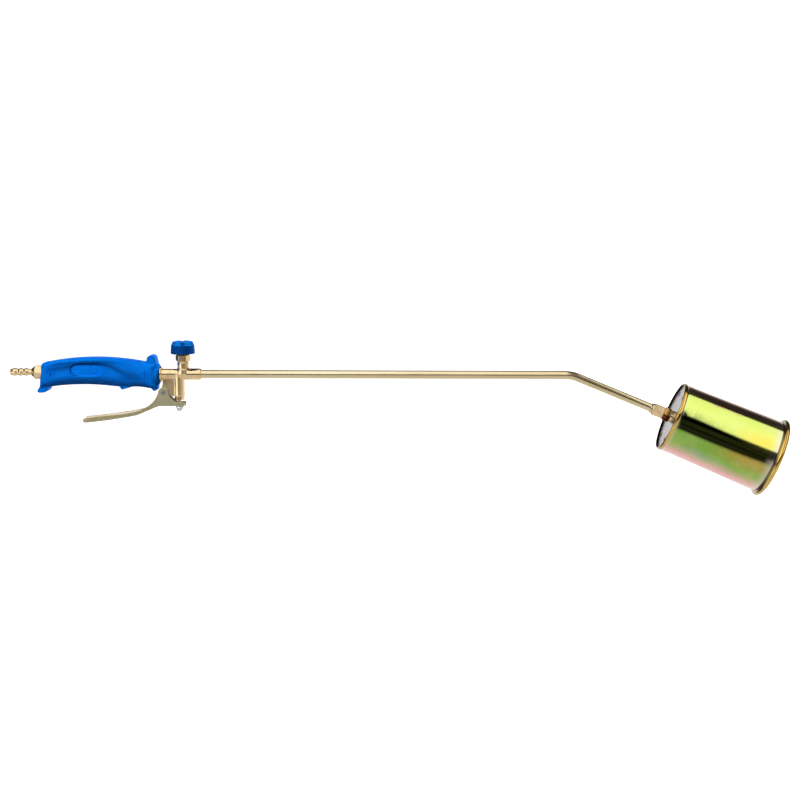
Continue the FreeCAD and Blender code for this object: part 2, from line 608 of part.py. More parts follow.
def plunger_parts():
    """Plunger, its seal and spring, the gland that guides the stem, O-ring and end nut."""
    define(seal_height=1.8, seal_radius=3.8, plunger_low=-14, plunger_radius=4.9,
           stem_radius=2, gland_plug=-24.5, gland_step=-28.1, gland_bottom=-31.2,
           stem_flats=11, oring_z=-26.4, oring_wire=0.9, nut_top=-38.9, nut_bottom=-45.2,
           end_nut_flats=8.4, spring_radius=3.7, spring_wire=0.5, spring_turns=5, clip_gap=0.1)
    body = branch_frame(new_body("plunger_seal", "valve"))
    face = new_sketch(body, "disc_view", "XY_Plane", "branch_roof - seal_height - clip_gap")
    circle(face, "seal_radius")
    extrude(body, "disc", face, "seal_height")
    keep(body)

    seal_floor = "branch_roof - seal_height - clip_gap"
    body = branch_frame(new_body("plunger", "valve"))
    revolve(body, "turned", [
        ("0", "nut_bottom + 0.8"), ("stem_radius", "nut_bottom + 0.8"),
        ("stem_radius", "plunger_low"), ("plunger_radius", "plunger_low"),
        ("plunger_radius", seal_floor + " + 1"), ("seal_radius + slip", seal_floor + " + 1"),
        ("seal_radius + slip", seal_floor), ("0", seal_floor)], "V_Axis")
    keep(body)

    body = branch_frame(new_body("stem_gland", "valve"))
    hole = "stem_radius + slip"
    revolve(body, "turned", [
        (hole, "gland_plug"), ("branch_bore - slip", "gland_plug"),
        ("branch_bore - slip", "gland_step"), ("stem_flats / 2 + 0.7", "gland_step"),
        ("stem_flats / 2 + 0.7", "gland_bottom + 0.7"), ("stem_flats / 2 - 0.3", "gland_bottom"),
        (hole, "gland_bottom"), (hole, "oring_z - 0.9"), ("stem_radius + 1.9", "oring_z - 0.9"),
        ("stem_radius + 1.9", "oring_z + 0.9"), (hole, "oring_z + 0.9")], "V_Axis")
    hex_flats(body, "flats", "stem_flats", "gland_bottom - 1", "gland_step", "XY_Plane")
    keep(body)

    ring = doc.addObject("Part::Torus", "stem_o_ring")
    ring.setExpression("Radius1", bound("stem_radius + oring_wire + slip"))
    ring.setExpression("Radius2", bound("oring_wire - 0.02"))
    place(ring, "valve")
    ring.setExpression("Placement.Base.x", bound("valve_x + branch_x"))
    ring.setExpression("Placement.Base.z", bound("oring_z - valve_drop"))
    keep(ring)

    body = branch_frame(new_body("stem_nut", "valve"))
    flat = "end_nut_flats / 2"
    revolve(body, "turned", [
        ("stem_radius + slip", "nut_top"), (flat + " - 0.6", "nut_top"),
        (flat + " + 0.5", "nut_top - 1.1"), (flat + " + 0.5", "nut_bottom + 2.2", "-4.6"),
        ("1.6", "nut_bottom"), ("0", "nut_bottom"), ("0", "nut_bottom + 0.7"),
        ("stem_radius + slip", "nut_bottom + 0.7")], "V_Axis")
    hex_flats(body, "flats", "end_nut_flats", "nut_bottom - 1", "nut_top + 1", "XY_Plane", turn=8)
    keep(body)


def return_spring():
    """Closed-coil spring round the stem, between the gland and the plunger's head."""
    low = value("gland_plug + spring_wire") + 0.05
    high = value("plunger_low - spring_wire") - 0.05
    radius = value("spring_radius")
    pitch = (high - low) / value("spring_turns")
    helix = Part.makeHelix(pitch, high - low, radius)
    section = Part.Wire(Part.makeCircle(value("spring_wire"), Vector(radius, 0, 0),
                                        Vector(0, 1, 0)))
    coil = Part.Wire(helix.Edges).makePipeShell([section], True, True)
    spring = doc.addObject("Part::Feature", "return_spring")
    spring.Shape = coil
    spring.Placement = Placement(Vector(value("valve_x + branch_x"), 0, low - value("valve_drop")),
                                 Rotation())
    keep(spring)


def lever():
    """Stamped channel: ears at the pivot, a forked end under the stem, a long finger arm."""
    define(lever_width=13, plate=1.8, ear_radius=6.5, fork_end=1.9, fork_top=-33.6,
           fork_bottom=-38.4, arm_tip=-121.5, arm_tip_bottom=-59, arm_height=7,
           arm_knee=-56, arm_knee_bottom=-49.6, arm_sweep=600, ear_left=-29, fork_slot=2.5)
    body = new_body("lever", "valve")
    ear_side = "pivot_x + ear_radius"
    ear_back = "pivot_x - ear_radius"
    under = [("fork_end", "fork_bottom"), ("ear_left", "fork_bottom"),
             ("ear_left - 5.5", "fork_bottom - 2"),
             ("arm_knee", "arm_knee_bottom", "-arm_sweep"), ("arm_tip + 1.6", "arm_tip_bottom", "-3")]
    side = outline(new_sketch(body, "side_view"), under + [
        ("arm_tip", "arm_tip_bottom + arm_height - 1.4"),
        ("arm_tip + 1.6", "arm_tip_bottom + arm_height", "arm_sweep"),
        ("arm_knee + 4", "arm_knee_bottom + arm_height", "32"),
        (ear_back, "pivot_z", "-ear_radius - 0.001"), (ear_side, "pivot_z", "14"),
        ("pivot_x + ear_radius + 9", "fork_top"), ("fork_end", "fork_top")])
    extrude(body, "stamping", side, "lever_width", both=True)
    floor = [(x, "(%s) + plate" % z) + tuple(bend) for x, z, *bend in under]
    floor[-1] = ("arm_tip - 5", "arm_tip_bottom + plate - 0.8")
    floor[0] = ("fork_end + 5", "fork_bottom + plate")
    inside = outline(new_sketch(body, "channel_view"),
                     floor + [("arm_tip - 5", "0"), ("fork_end + 5", "0")])
    extrude(body, "channel", inside, "lever_width - 2 * plate", cut=True, both=True)
    slot = outline(new_sketch(body, "fork_slot_view", "XY_Plane", "fork_bottom + 3"), [
        ("fork_end + 5", "fork_slot"), ("branch_x - 4.4", "fork_slot", "fork_slot + 0.001"),
        ("branch_x - 4.4", "-fork_slot"), ("fork_end + 5", "-fork_slot")])
    extrude(body, "fork", slot, "8", cut=True)
    hole = circle(new_sketch(body, "pin_hole_ring"), "pin_radius + slip", "pivot_x", "pivot_z")
    extrude(body, "pin_hole", hole, "2 * lever_width", cut=True, both=True)
    keep(body)

    define(pin_length=13.6, pin_head=2.3)
    pin = new_body("lever_pivot_pin", "valve")
    shank = new_sketch(pin, "shank_ring")
    circle(shank, "pin_radius", "pivot_x", "pivot_z")
    extrude(pin, "shank", shank, "pin_length + 0.2", both=True)
    for side, name in ((1, "near_head"), (-1, "far_head")):
        head = new_sketch(pin, name + "_ring", "XZ_Plane", "%d * (pin_length / 2 - 0.1)" % side)
        circle(head, "pin_head", "pivot_x", "pivot_z")
        extrude(pin, name, head, "0.7", flip=side < 0)
    keep(pin)


# ---------------------------------------------------------------- lance and burner

def lance():
    """Main tube: one straight run, one bend, and the run to the burner."""
    start = "outlet_end - 9.4"
    trim = "bend_radius * tan(bend_angle / 2)"
    pipe("main_tube", "valve", [
        (start, "0"), ("lance_reach - %s" % trim, "0"),
        ("lance_reach + %s * cos(bend_angle)" % trim, "-%s * sin(bend_angle)" % trim),
        ("lance_reach + burner_reach * cos(bend_angle)", "-burner_reach * sin(bend_angle)")],
        start, {1: "-bend_radius"}, "YZ_Plane")


def burner_fittings():
    """Brass adapter, union nut, stub, lock nut and jet, all on the burner's axis."""
    define(adapter_flats=13, burner_flats=15.6, joint_thread=5.4, hex_start=103.8, hex_end=118,
           burner_nut_end=126.4, plate_at=129.2, plate_thick=1.2, neck_radius=5,
           lock_flats=17, lock_width=5, stub_end=140, jet_flats=10, jet_end=153)
    body = new_body("tube_adapter", "burner")
    corner = "adapter_flats / 2 + 1"
    revolve(body, "turned", [
        ("hex_start - 2.6", "tube_radius + slip"), ("hex_start - 2.6", "tube_radius + 0.8"),
        ("hex_start - 0.6", "tube_radius + 1.1"), ("hex_start", "adapter_flats / 2 - 0.4"),
        ("hex_start + 0.8", corner), ("hex_end - 0.8", corner),
        ("hex_end", "adapter_flats / 2 - 0.4"), ("hex_end", "joint_thread"),
        ("hex_end + 5", "joint_thread"), ("hex_end + 5", "gas_bore"),
        ("burner_reach + slip", "gas_bore"), ("burner_reach + slip", "tube_radius + slip")])
    hex_flats(body, "flats", "adapter_flats", "hex_start", "hex_end", turn=10)
    keep(body)

    body = new_body("burner_nut", "burner")
    corner = "burner_flats / 2 + 1.2"
    revolve(body, "turned", [
        ("hex_end + 0.3", "joint_thread + slip"), ("hex_end + 0.3", "burner_flats / 2 - 0.3"),
        ("hex_end + 1.1", corner), ("burner_nut_end - 0.8", corner),
        ("burner_nut_end", "burner_flats / 2 - 0.3"), ("burner_nut_end", "joint_thread + slip")])
    hex_flats(body, "flats", "burner_flats", "hex_end", "burner_nut_end + 1", turn=22)
    keep(body)

    body = new_body("burner_stub", "burner")
    revolve(body, "turned", [
        ("hex_end + 5.1", "gas_bore"), ("hex_end + 5.1", "joint_thread"),
        ("burner_nut_end", "joint_thread"), ("burner_nut_end + 0.1", "6.4"),
        ("plate_at - slip", "6.9"), ("plate_at - slip", "neck_radius"),
        ("stub_end", "neck_radius"), ("stub_end", "gas_bore + 1"),
        ("stub_end - 6", "gas_bore + 1"), ("stub_end - 6", "gas_bore")])
    keep(body)

    body = new_body("plate_lock_nut", "burner")
    start = "plate_at + plate_thick + slip"
    corner = "lock_flats / 2 + 1.2"
    revolve(body, "turned", [
        (start, "neck_radius + slip"), (start, "lock_flats / 2"),
        (start + " + 0.8", corner), (start + " + lock_width - 0.8", corner),
        (start + " + lock_width", "lock_flats / 2"),
        (start + " + lock_width", "neck_radius + slip")])
    hex_flats(body, "flats", "lock_flats", start + " - 1", start + " + lock_width + 1")
    keep(body)

    body = new_body("gas_jet", "burner")
    corner = "jet_flats / 2 + 0.7"
    revolve(body, "turned", [
        ("stub_end - 5.9", "1.2"), ("stub_end - 5.9", "gas_bore + 1 - slip"),
        ("stub_end + slip", "gas_bore + 1 - slip"), ("stub_end + slip", "jet_flats / 2 - 0.2"),
        ("stub_end + 0.8", corner), ("stub_end + 5.2", corner),
        ("stub_end + 6", "jet_flats / 2 - 0.2"), ("stub_end + 6.4", "3.6"),
        ("jet_end", "2.4"), ("jet_end", "0.5"), ("jet_end - 3", "0.5"), ("jet_end - 4", "1.2")])
    hex_flats(body, "flats", "jet_flats", "stub_end - 1", "stub_end + 6")
    keep(body)


def cup():
    """Spun steel cup with a seamed rear rim, a curled mouth and an air plate let into it."""
    define(wall=1.2, rear_face=126.8, rear_radius=41.4, mouth_radius=44.2, bead_radius=42.5,
           bead_at=129.4, curl_at=256, curl_radius=48.5, curl_half=3.5, mouth_face=259.5,
           air_hole=3, air_circle=31, air_holes=6)
    body = new_body("burner_cup", "burner")
    inner_rear = "rear_radius - wall"
    inner_mouth = "mouth_radius - wall"
    revolve(body, "spun", [
        ("rear_face", inner_rear), ("rear_face", "rear_radius - 0.6"),
        ("rear_face + 0.6", "rear_radius + 0.3"), ("rear_face + 1.2", "bead_radius - 0.2", "-1.6"),
        ("bead_at + 1.4", "bead_radius - 0.3"), ("bead_at + 2.6", "rear_radius"),
        ("curl_at - curl_half", "mouth_radius"),
        ("curl_at - curl_half + 0.2", "curl_radius - 2.4", "-2.6"),
        ("curl_at - 0.6", "curl_radius"), ("curl_at + 0.8", "curl_radius", "-2.8"),
        ("mouth_face - 0.6", "curl_radius - 2.2"), ("mouth_face", "curl_radius - 3"),
        ("mouth_face", "mouth_radius"), ("mouth_face - 1.4", inner_mouth)])
    keep(body)

    body = new_body("air_plate", "burner")
    sketch = new_sketch(body, "plate_view", "YZ_Plane", "plate_at")
    circle(sketch, inner_rear + " - slip")
    circle(sketch, "neck_radius + slip")
    extrude(body, "disc", sketch, "plate_thick")
    port = new_sketch(body, "port_view", "YZ_Plane", "plate_at + plate_thick")
    circle(port, "air_hole", "air_circle", 0)
    cut = extrude(body, "port", port, "plate_thick", cut=True)
    pattern = body.newObject("PartDesign::PolarPattern", "air_ports")
    pattern.Originals = [cut]
    pattern.Axis = (port, ["N_Axis"])
    pattern.Angle = 360
    pattern.setExpression("Occurrences", bound("air_holes"))
    body.Tip = pattern
    keep(body)


# ---------------------------------------------------------------- build, check and write

hose_barb()
hose_union_nut()
hose_seal()
inlet_adapter()
inlet_tube()
handle()
valve_body()
gland()
plunger_parts()
return_spring()
lever()
lance()
burner_fittings()
cup()
doc.recompute()

for item in doc.Objects:
    if "Invalid" in item.State or "Error" in item.State:
        raise RuntimeError("%s did not recompute: %s" % (item.Name, item.State))
for piece in parts:
    if piece.Shape.isNull() or not piece.Shape.isValid() or not piece.Shape.Solids:
        raise RuntimeError("%s has no valid solid" % piece.Label)

os.makedirs("parts", exist_ok=True)
for piece in parts:
    piece.Shape.exportStep("parts/%s.step" % piece.Label)
    box = piece.Shape.optimalBoundingBox(False)
    print("%-22s %2d solid(s) %9.1f mm3  x %7.1f %7.1f  y %6.1f %6.1f  z %7.1f %7.1f" % (
        piece.Label, len(piece.Shape.Solids), piece.Shape.Volume, box.XMin, box.XMax,
        box.YMin, box.YMax, box.ZMin, box.ZMax))
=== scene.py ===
import json
import math

import bmesh
import bpy
import numpy as np
from mathutils import Matrix, Vector

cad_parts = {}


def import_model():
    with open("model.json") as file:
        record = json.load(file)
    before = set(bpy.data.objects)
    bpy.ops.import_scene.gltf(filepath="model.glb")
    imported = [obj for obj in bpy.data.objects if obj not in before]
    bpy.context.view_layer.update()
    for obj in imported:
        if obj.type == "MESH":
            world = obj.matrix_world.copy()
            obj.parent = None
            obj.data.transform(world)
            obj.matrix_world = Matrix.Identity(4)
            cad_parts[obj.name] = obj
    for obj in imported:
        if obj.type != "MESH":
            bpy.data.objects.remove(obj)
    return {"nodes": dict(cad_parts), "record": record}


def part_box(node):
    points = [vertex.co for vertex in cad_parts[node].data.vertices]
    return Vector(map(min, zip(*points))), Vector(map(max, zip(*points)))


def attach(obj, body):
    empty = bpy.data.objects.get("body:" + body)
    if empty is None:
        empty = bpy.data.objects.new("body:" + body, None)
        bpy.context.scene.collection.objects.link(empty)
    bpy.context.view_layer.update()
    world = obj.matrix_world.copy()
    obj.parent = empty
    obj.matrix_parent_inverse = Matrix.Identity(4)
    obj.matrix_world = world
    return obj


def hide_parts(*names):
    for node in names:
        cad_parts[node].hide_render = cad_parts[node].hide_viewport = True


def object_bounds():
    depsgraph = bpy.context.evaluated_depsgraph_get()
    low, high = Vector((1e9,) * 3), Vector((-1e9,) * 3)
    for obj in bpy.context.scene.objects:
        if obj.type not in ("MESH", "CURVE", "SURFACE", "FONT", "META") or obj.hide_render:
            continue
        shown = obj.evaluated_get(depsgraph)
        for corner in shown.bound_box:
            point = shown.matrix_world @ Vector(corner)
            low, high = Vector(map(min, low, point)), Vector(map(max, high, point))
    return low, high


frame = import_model()
cad_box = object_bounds()
NODES = frame["nodes"]
MM = 0.001


# ------------------------------------------------------------ measures

def middle(node):
    low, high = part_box(node)
    return (low + high) / 2


def box_mm(node):
    """Lowest and highest corner of a CAD node in millimetres."""
    low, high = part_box(node)
    return low / MM, high / MM


ALONG_X, ALONG_Y, ALONG_Z = Vector((1, 0, 0)), Vector((0, 1, 0)), Vector((0, 0, 1))
CUP_MOUTH = next(m for m in frame["record"]["mounts"] if m["name"] == "cup_mouth")
BURNER_AXIS = Vector(CUP_MOUTH["axis"]).normalized()
BURNER_UP = BURNER_AXIS.cross(ALONG_Y)
# The mount is the top of the cup's rim: this far out from the burner's axis, and this far along
# it from the bend in the lance. Every measure of the burner starts at the bend.
MOUTH_RING = 44.85
MOUTH_STATION = 259.5
BEND = (Vector(CUP_MOUTH["pos_m"]) - BURNER_UP * MOUTH_RING * MM
        - BURNER_AXIS * MOUTH_STATION * MM)
CUP_REAR = 129
CUP_LENGTH = 130
LANCE_END = 112
# The valve's middle, on the gas line, which runs 1 mm below the inlet tube's axis.
VALVE = Vector((middle("gland_nut").x, 0, middle("inlet_tube").z - 1 * MM))
BURNER = middle("burner_nut")
KNOB = middle("knob")
FLUTES = 6
FLUTE_TURN = math.radians(168)


# ------------------------------------------------------------ camera

def look(azimuth, elevation, roll, target, distance, focal_pixels):
    """A camera at a distance from a target, with its focal length in pixels of an 800 frame."""
    a, e = math.radians(azimuth), math.radians(elevation)
    back = Vector((math.sin(a) * math.cos(e), -math.cos(a) * math.cos(e), math.sin(e)))
    right = Vector((math.cos(a), math.sin(a), 0))
    up = back.cross(right)
    data = bpy.data.cameras.new("camera")
    data.sensor_width = 36
    data.lens = focal_pixels / 800 * data.sensor_width
    data.clip_end = 50
    camera = bpy.data.objects.new("camera", data)
    bpy.context.scene.collection.objects.link(camera)
    turn = Matrix((right, up, back)).transposed().to_4x4()
    camera.matrix_world = (Matrix.Translation(target + back * distance)
                           @ Matrix.Rotation(math.radians(roll), 4, back) @ turn)
    bpy.context.scene.camera = camera


look(azimuth=3, elevation=8, roll=-0.215, target=Vector((0.4666, 0, -0.0327)), distance=1.848,
     focal_pixels=1540)


# ------------------------------------------------------------ studio

STAGE_MIDDLE = 0.46
STAGE_HUB, STAGE_FLAT, STAGE_BEND, STAGE_WALL = 0.8, 1.7, 0.9, 2.6
STAGE_SIDES = 96


def stage():
    """A pale floor that curves up into a round wall."""
    floor_z = cad_box[0].z
    profile = [(STAGE_HUB, 0), (STAGE_FLAT, 0)]
    for a in np.radians(np.linspace(7.5, 90, 12)):
        profile.append((STAGE_FLAT + STAGE_BEND * math.sin(a), STAGE_BEND * (1 - math.cos(a))))
    profile.append((STAGE_FLAT + STAGE_BEND, STAGE_WALL))
    mesh = bmesh.new()
    turns = np.linspace(0, 2 * math.pi, STAGE_SIDES, endpoint=False)
    rings = [[mesh.verts.new((STAGE_MIDDLE + r * math.cos(t), r * math.sin(t), floor_z + z))
              for t in turns] for r, z in profile]
    hub = mesh.verts.new((STAGE_MIDDLE, 0, floor_z))
    for i in range(STAGE_SIDES):
        j = (i + 1) % STAGE_SIDES
        mesh.faces.new((hub, rings[0][i], rings[0][j]))
        for low, high in zip(rings, rings[1:]):
            mesh.faces.new((low[i], high[i], high[j], low[j]))
    data = bpy.data.meshes.new("backdrop")
    mesh.to_mesh(data)
    mesh.free()
    data.polygons.foreach_set("use_smooth", [True] * len(data.polygons))
    obj = bpy.data.objects.new("backdrop", data)
    bpy.context.scene.collection.objects.link(obj)
    paper = bpy.data.materials.new("paper")
    paper.use_nodes = True
    shader = paper.node_tree.nodes["Principled BSDF"]
    shader.inputs["Base Color"].default_value = (0.5, 0.5, 0.5, 1)
    shader.inputs["Roughness"].default_value = 0.9
    shader.inputs["Specular IOR Level"].default_value = 0.1
    shader.inputs["Emission Color"].default_value = (1, 1, 1, 1)
    shader.inputs["Emission Strength"].default_value = 1.0
    data.materials.append(paper)
    obj.visible_glossy = False
    obj.visible_diffuse = False
    obj.visible_shadow = False


stage()


def softbox(name, place, target, width, height, strength, seen_in="diffuse"):
    """A light whose face is as bright as its strength: it lights matt surfaces or shows in
    glossy ones."""
    data = bpy.data.lights.new(name, "AREA")
    data.shape = "RECTANGLE"
    data.size, data.size_y = width, height
    data.energy = strength * math.pi * width * height
    light = bpy.data.objects.new(name, data)
    bpy.context.scene.collection.objects.link(light)
    light.location = place
    aim = (Vector(target) - Vector(place)).to_track_quat("-Z", "Y")
    light.rotation_euler = aim.to_matrix().to_euler()
    light.visible_camera = False
    light.visible_diffuse = seen_in == "diffuse"
    light.visible_glossy = seen_in == "glossy"


softbox("soft_key", (-0.3, -1.0, 1.25), (0.15, 0, 0), 1.3, 0.9, 6.8)
softbox("soft_fill", (0.1, -1.6, -0.1), (0.15, 0, 0), 1.2, 0.9, 0.6)
softbox("soft_floor", (0.15, -0.7, -1.0), (0.15, 0, 0), 1.2, 0.9, 0.4)
softbox("right_rim", (1.6, 0.9, 0.3), (0.15, 0, 0), 0.7, 0.8, 20.0)
softbox("panel_left", (0.05, -0.435, 0.745), (0.05, 0, -0.09), 1.5, 1.79, 1.0, "glossy")
softbox("panel_right", (1.7, -0.435, 0.745), (1.7, 0, -0.09), 1.02, 1.79, 1.0, "glossy")
softbox("strip_left", (-0.65, -0.9, -0.08), (0.18, 0, -0.03), 0.85, 0.6, 1.0, "glossy")


# ------------------------------------------------------------ node trees

class Tree:
    """Short calls that add nodes to a node tree."""

    def __init__(self, tree):
        self.tree = tree

    def node(self, kind, **settings):
        node = self.tree.nodes.new("ShaderNode" + kind)
        for key, setting in settings.items():
            setattr(node, key, setting)
        return node

    def feed(self, socket, source):
        if hasattr(source, "links"):
            self.tree.links.new(source, socket)
        else:
            socket.default_value = source

    def math(self, operation, *sources):
        node = self.node("Math", operation=operation)
        for socket, source in zip(node.inputs, sources):
            self.feed(socket, source)
        return node.outputs[0]

    def ramp(self, source, *stops):
        """Colours or greys between (position, colour) stops."""
        node = self.node("ValToRGB")
        self.feed(node.inputs["Fac"], source)
        elements = node.color_ramp.elements
        while len(elements) < len(stops):
            elements.new(0.5)
        for element, (position, colour) in zip(elements, stops):
            element.position = position
            grey = isinstance(colour, (int, float))
            element.color = (colour,) * 3 + (1,) if grey else tuple(colour) + (1,)
        return node.outputs["Color"]

    def span(self, source, low, high, start=0, end=1):
        """A straight run from start at low to end at high, level beyond both."""
        node = self.node("MapRange")
        self.feed(node.inputs["Value"], source)
        for name, number in (("From Min", low), ("From Max", high), ("To Min", start),
                             ("To Max", end)):
            node.inputs[name].default_value = number
        return node.outputs["Result"]


# Brightness of the surroundings by angle round the row axis: 0 is the camera's side, 90 above.
SURROUNDINGS = ((-180, 0.95), (-150, 0.9), (-110, 0.75), (-60, 0.64), (-12, 0.6), (-4, 0.05),
                (16, 0.03), (24, 0.16), (60, 0.2), (100, 0.12), (108, 0.03), (150, 0.05),
                (163, 0.7), (180, 0.95))


def world():
    """What glossy surfaces reflect past the lights: dark at eye level and in one far corner."""
    surroundings = bpy.data.worlds.new("studio")
    bpy.context.scene.world = surroundings
    surroundings.use_nodes = True
    surroundings.node_tree.nodes.clear()
    tree = Tree(surroundings.node_tree)
    light = tree.node("Background")
    tree.feed(tree.node("OutputWorld").inputs[0], light.outputs[0])
    split = tree.node("SeparateXYZ")
    tree.feed(split.inputs[0], tree.node("TexCoord").outputs["Generated"])
    angle = tree.math("ARCTAN2", split.outputs["Z"],
                      tree.math("MULTIPLY", split.outputs["Y"], -1))
    tree.feed(light.inputs["Color"],
              tree.ramp(tree.span(angle, -math.pi, math.pi),
                        *[((degrees + 180) / 360, grey) for degrees, grey in SURROUNDINGS]))
    # The far left corner loses most of its brightness.
    corner = tree.math("MULTIPLY", tree.span(split.outputs["X"], -0.4, -0.62),
                       tree.span(split.outputs["Y"], 0.02, 0.2))
    tree.feed(light.inputs["Strength"], tree.math("MULTIPLY_ADD", corner, -0.92, 1))
    surroundings.cycles_visibility.diffuse = False


world()
bpy.context.scene.view_settings.view_transform = "Standard"


# ------------------------------------------------------------ finishes

class Paint(Tree):
    """A finish, laid out in the row frame's own coordinates."""

    def __init__(self, name):
        self.material = bpy.data.materials.new(name)
        self.material.use_nodes = True
        super().__init__(self.material.node_tree)
        self.shader = self.tree.nodes["Principled BSDF"]
        self.place = self.node("TexCoord").outputs["Object"]

    def along(self, direction, origin=(0, 0, 0)):
        """Distance along a direction from an origin."""
        offset = self.node("VectorMath", operation="SUBTRACT")
        self.feed(offset.inputs[0], self.place)
        offset.inputs[1].default_value = tuple(origin)
        dot = self.node("VectorMath", operation="DOT_PRODUCT")
        self.tree.links.new(offset.outputs[0], dot.inputs[0])
        dot.inputs[1].default_value = tuple(direction)
        return dot.outputs["Value"]

    def noise(self, scale, detail=3, rough=0.5, stretch=(1, 1, 1)):
        mapping = self.node("Mapping")
        self.tree.links.new(self.place, mapping.inputs["Vector"])
        mapping.inputs["Scale"].default_value = stretch
        noise = self.node("TexNoise")
        self.tree.links.new(mapping.outputs[0], noise.inputs["Vector"])
        noise.inputs["Scale"].default_value = scale
        noise.inputs["Detail"].default_value = detail
        noise.inputs["Roughness"].default_value = rough
        return noise.outputs["Fac"]

    def lines(self, distance, scale, detail=4):
        """One-dimensional noise: fine lines across a direction."""
        noise = self.node("TexNoise", noise_dimensions="1D")
        self.feed(noise.inputs["W"], self.math("MULTIPLY", distance, scale))
        noise.inputs["Scale"].default_value = 1
        noise.inputs["Detail"].default_value = detail
        return noise.outputs["Fac"]

    def mix(self, share, first, second):
        node = self.node("Mix", data_type="RGBA")
        self.feed(node.inputs["Factor"], share)
        for socket, source in ((node.inputs[6], first), (node.inputs[7], second)):
            self.feed(socket, source if hasattr(source, "links") else tuple(source) + (1,))
        return node.outputs[2]

    def bump(self, height, depth):
        node = self.node("Bump")
        self.feed(node.inputs["Height"], height)
        node.inputs["Strength"].default_value = 1
        node.inputs["Distance"].default_value = depth
        self.tree.links.new(node.outputs[0], self.shader.inputs["Normal"])

    def colour(self, source):
        self.feed(self.shader.inputs["Base Color"], source)

    def roughness(self, source):
        self.feed(self.shader.inputs["Roughness"], source)

    def set(self, **constants):
        for name, number in constants.items():
            self.shader.inputs[name.replace("_", " ")].default_value = number


def srgb(red, green, blue):
    """Linear colour of a 0-255 swatch."""
    return tuple(c / 255 / 12.92 if c <= 10 else ((c / 255 + 0.055) / 1.055) ** 2.4
                 for c in (red, green, blue))


def brass(name, axis, origin=(0, 0, 0)):
    """Turned brass, with fine lines round an axis."""
    paint = Paint(name)
    run = paint.along(axis, origin)
    turned = paint.lines(run, 5200)
    cloud = paint.noise(90, 4, 0.6)
    tone = paint.ramp(cloud, (0.3, srgb(226, 186, 128)), (0.55, srgb(250, 224, 176)),
                      (0.75, srgb(242, 206, 150)))
    paint.colour(paint.mix(paint.span(turned, 0.35, 0.7, 0, 0.2), tone,
                           srgb(206, 156, 92)))
    paint.roughness(paint.span(paint.noise(700, 3), 0.3, 0.7, 0.12, 0.2))
    paint.bump(turned, 0.004 * MM)
    paint.set(Metallic=1.0)
    return paint.material


def gold_brown_brass(name):
    """Brass painted gold above and brown below, as in the photo: from heat or shade, a guess."""
    paint = Paint(name)
    cloud = paint.noise(240, 4, 0.6)
    gold = paint.ramp(cloud, (0.32, srgb(214, 160, 96)), (0.5, srgb(228, 178, 108)),
                      (0.66, srgb(240, 200, 132)))
    browned = paint.ramp(cloud, (0.34, srgb(96, 54, 34)), (0.5, srgb(122, 70, 44)),
                         (0.66, srgb(146, 92, 66)))
    rise = paint.along(BURNER_UP, BURNER)
    paint.colour(paint.mix(paint.span(rise, 0.5 * MM, -0.5 * MM), gold, browned))
    paint.roughness(paint.span(paint.noise(900, 3), 0.3, 0.7, 0.14, 0.26))
    paint.bump(paint.noise(1400, 2), 0.01 * MM)
    paint.set(Metallic=1.0)
    return paint.material


def metal(name, tones, rough, grain=300, stretch=(1, 1, 1), depth=0.02 * MM):
    """Plain metal, cloudy between its tones and finely grained."""
    paint = Paint(name)
    cloud = paint.noise(grain / 4, 4, 0.6, stretch)
    fine = paint.noise(grain * 4, 3, 0.6, stretch)
    paint.colour(paint.ramp(cloud, *[(0.3 + 0.4 * i / (len(tones) - 1), srgb(*tone))
                                     for i, tone in enumerate(tones)]))
    paint.roughness(paint.span(fine, 0.3, 0.7, *rough))
    paint.bump(fine, depth)
    paint.set(Metallic=1.0)
    return paint.material


def cloudy(paint, first, second):
    """Two close tones of a moulded plastic in soft clouds."""
    return paint.mix(paint.span(paint.noise(60), 0.3, 0.7), srgb(*first), srgb(*second))


def moulded(paint, colour, gloss):
    """Finishes a plastic: its colour, and the fine grain of a mould."""
    paint.colour(colour)
    paint.roughness(paint.span(paint.noise(350), 0.3, 0.7, 0.36, 0.5))
    paint.bump(paint.noise(2600, 2), 0.03 * MM)
    paint.set(Specular_IOR_Level=gloss)
    return paint.material


def plastic(name, tone, shade, gloss=0.08):
    paint = Paint(name)
    return moulded(paint, cloudy(paint, tone, shade), gloss)


def grip_finish(name):
    """Moulded plastic, with shade painted in where the mesh's own "hollow" values are high."""
    paint = Paint(name)
    hollow = paint.node("Attribute", attribute_name="hollow").outputs["Fac"]
    colour = paint.mix(hollow, cloudy(paint, (0, 134, 255), (0, 124, 246)), srgb(0, 66, 138))
    return moulded(paint, colour, 0.02)


def knob_finish(name):
    """Moulded plastic, with the shade of its skirt and of its flutes painted in."""
    paint = Paint(name)
    rise, aside, ahead = (paint.along(axis, KNOB) for axis in (ALONG_Z, ALONG_X, ALONG_Y))
    turn = paint.math("SUBTRACT", paint.math("ARCTAN2", aside, ahead), FLUTE_TURN)
    wave = paint.math("COSINE", paint.math("MULTIPLY", turn, FLUTES))
    crown = paint.span(rise, 2.6 * MM, 3.2 * MM)
    fluted = paint.math("MULTIPLY", paint.span(wave, 0, 1), crown)
    skirt = cloudy(paint, (0, 76, 160), (0, 68, 148))
    colour = paint.mix(crown, skirt, srgb(6, 136, 240))
    return moulded(paint, paint.mix(fluted, colour, srgb(0, 74, 160)), 0.04)


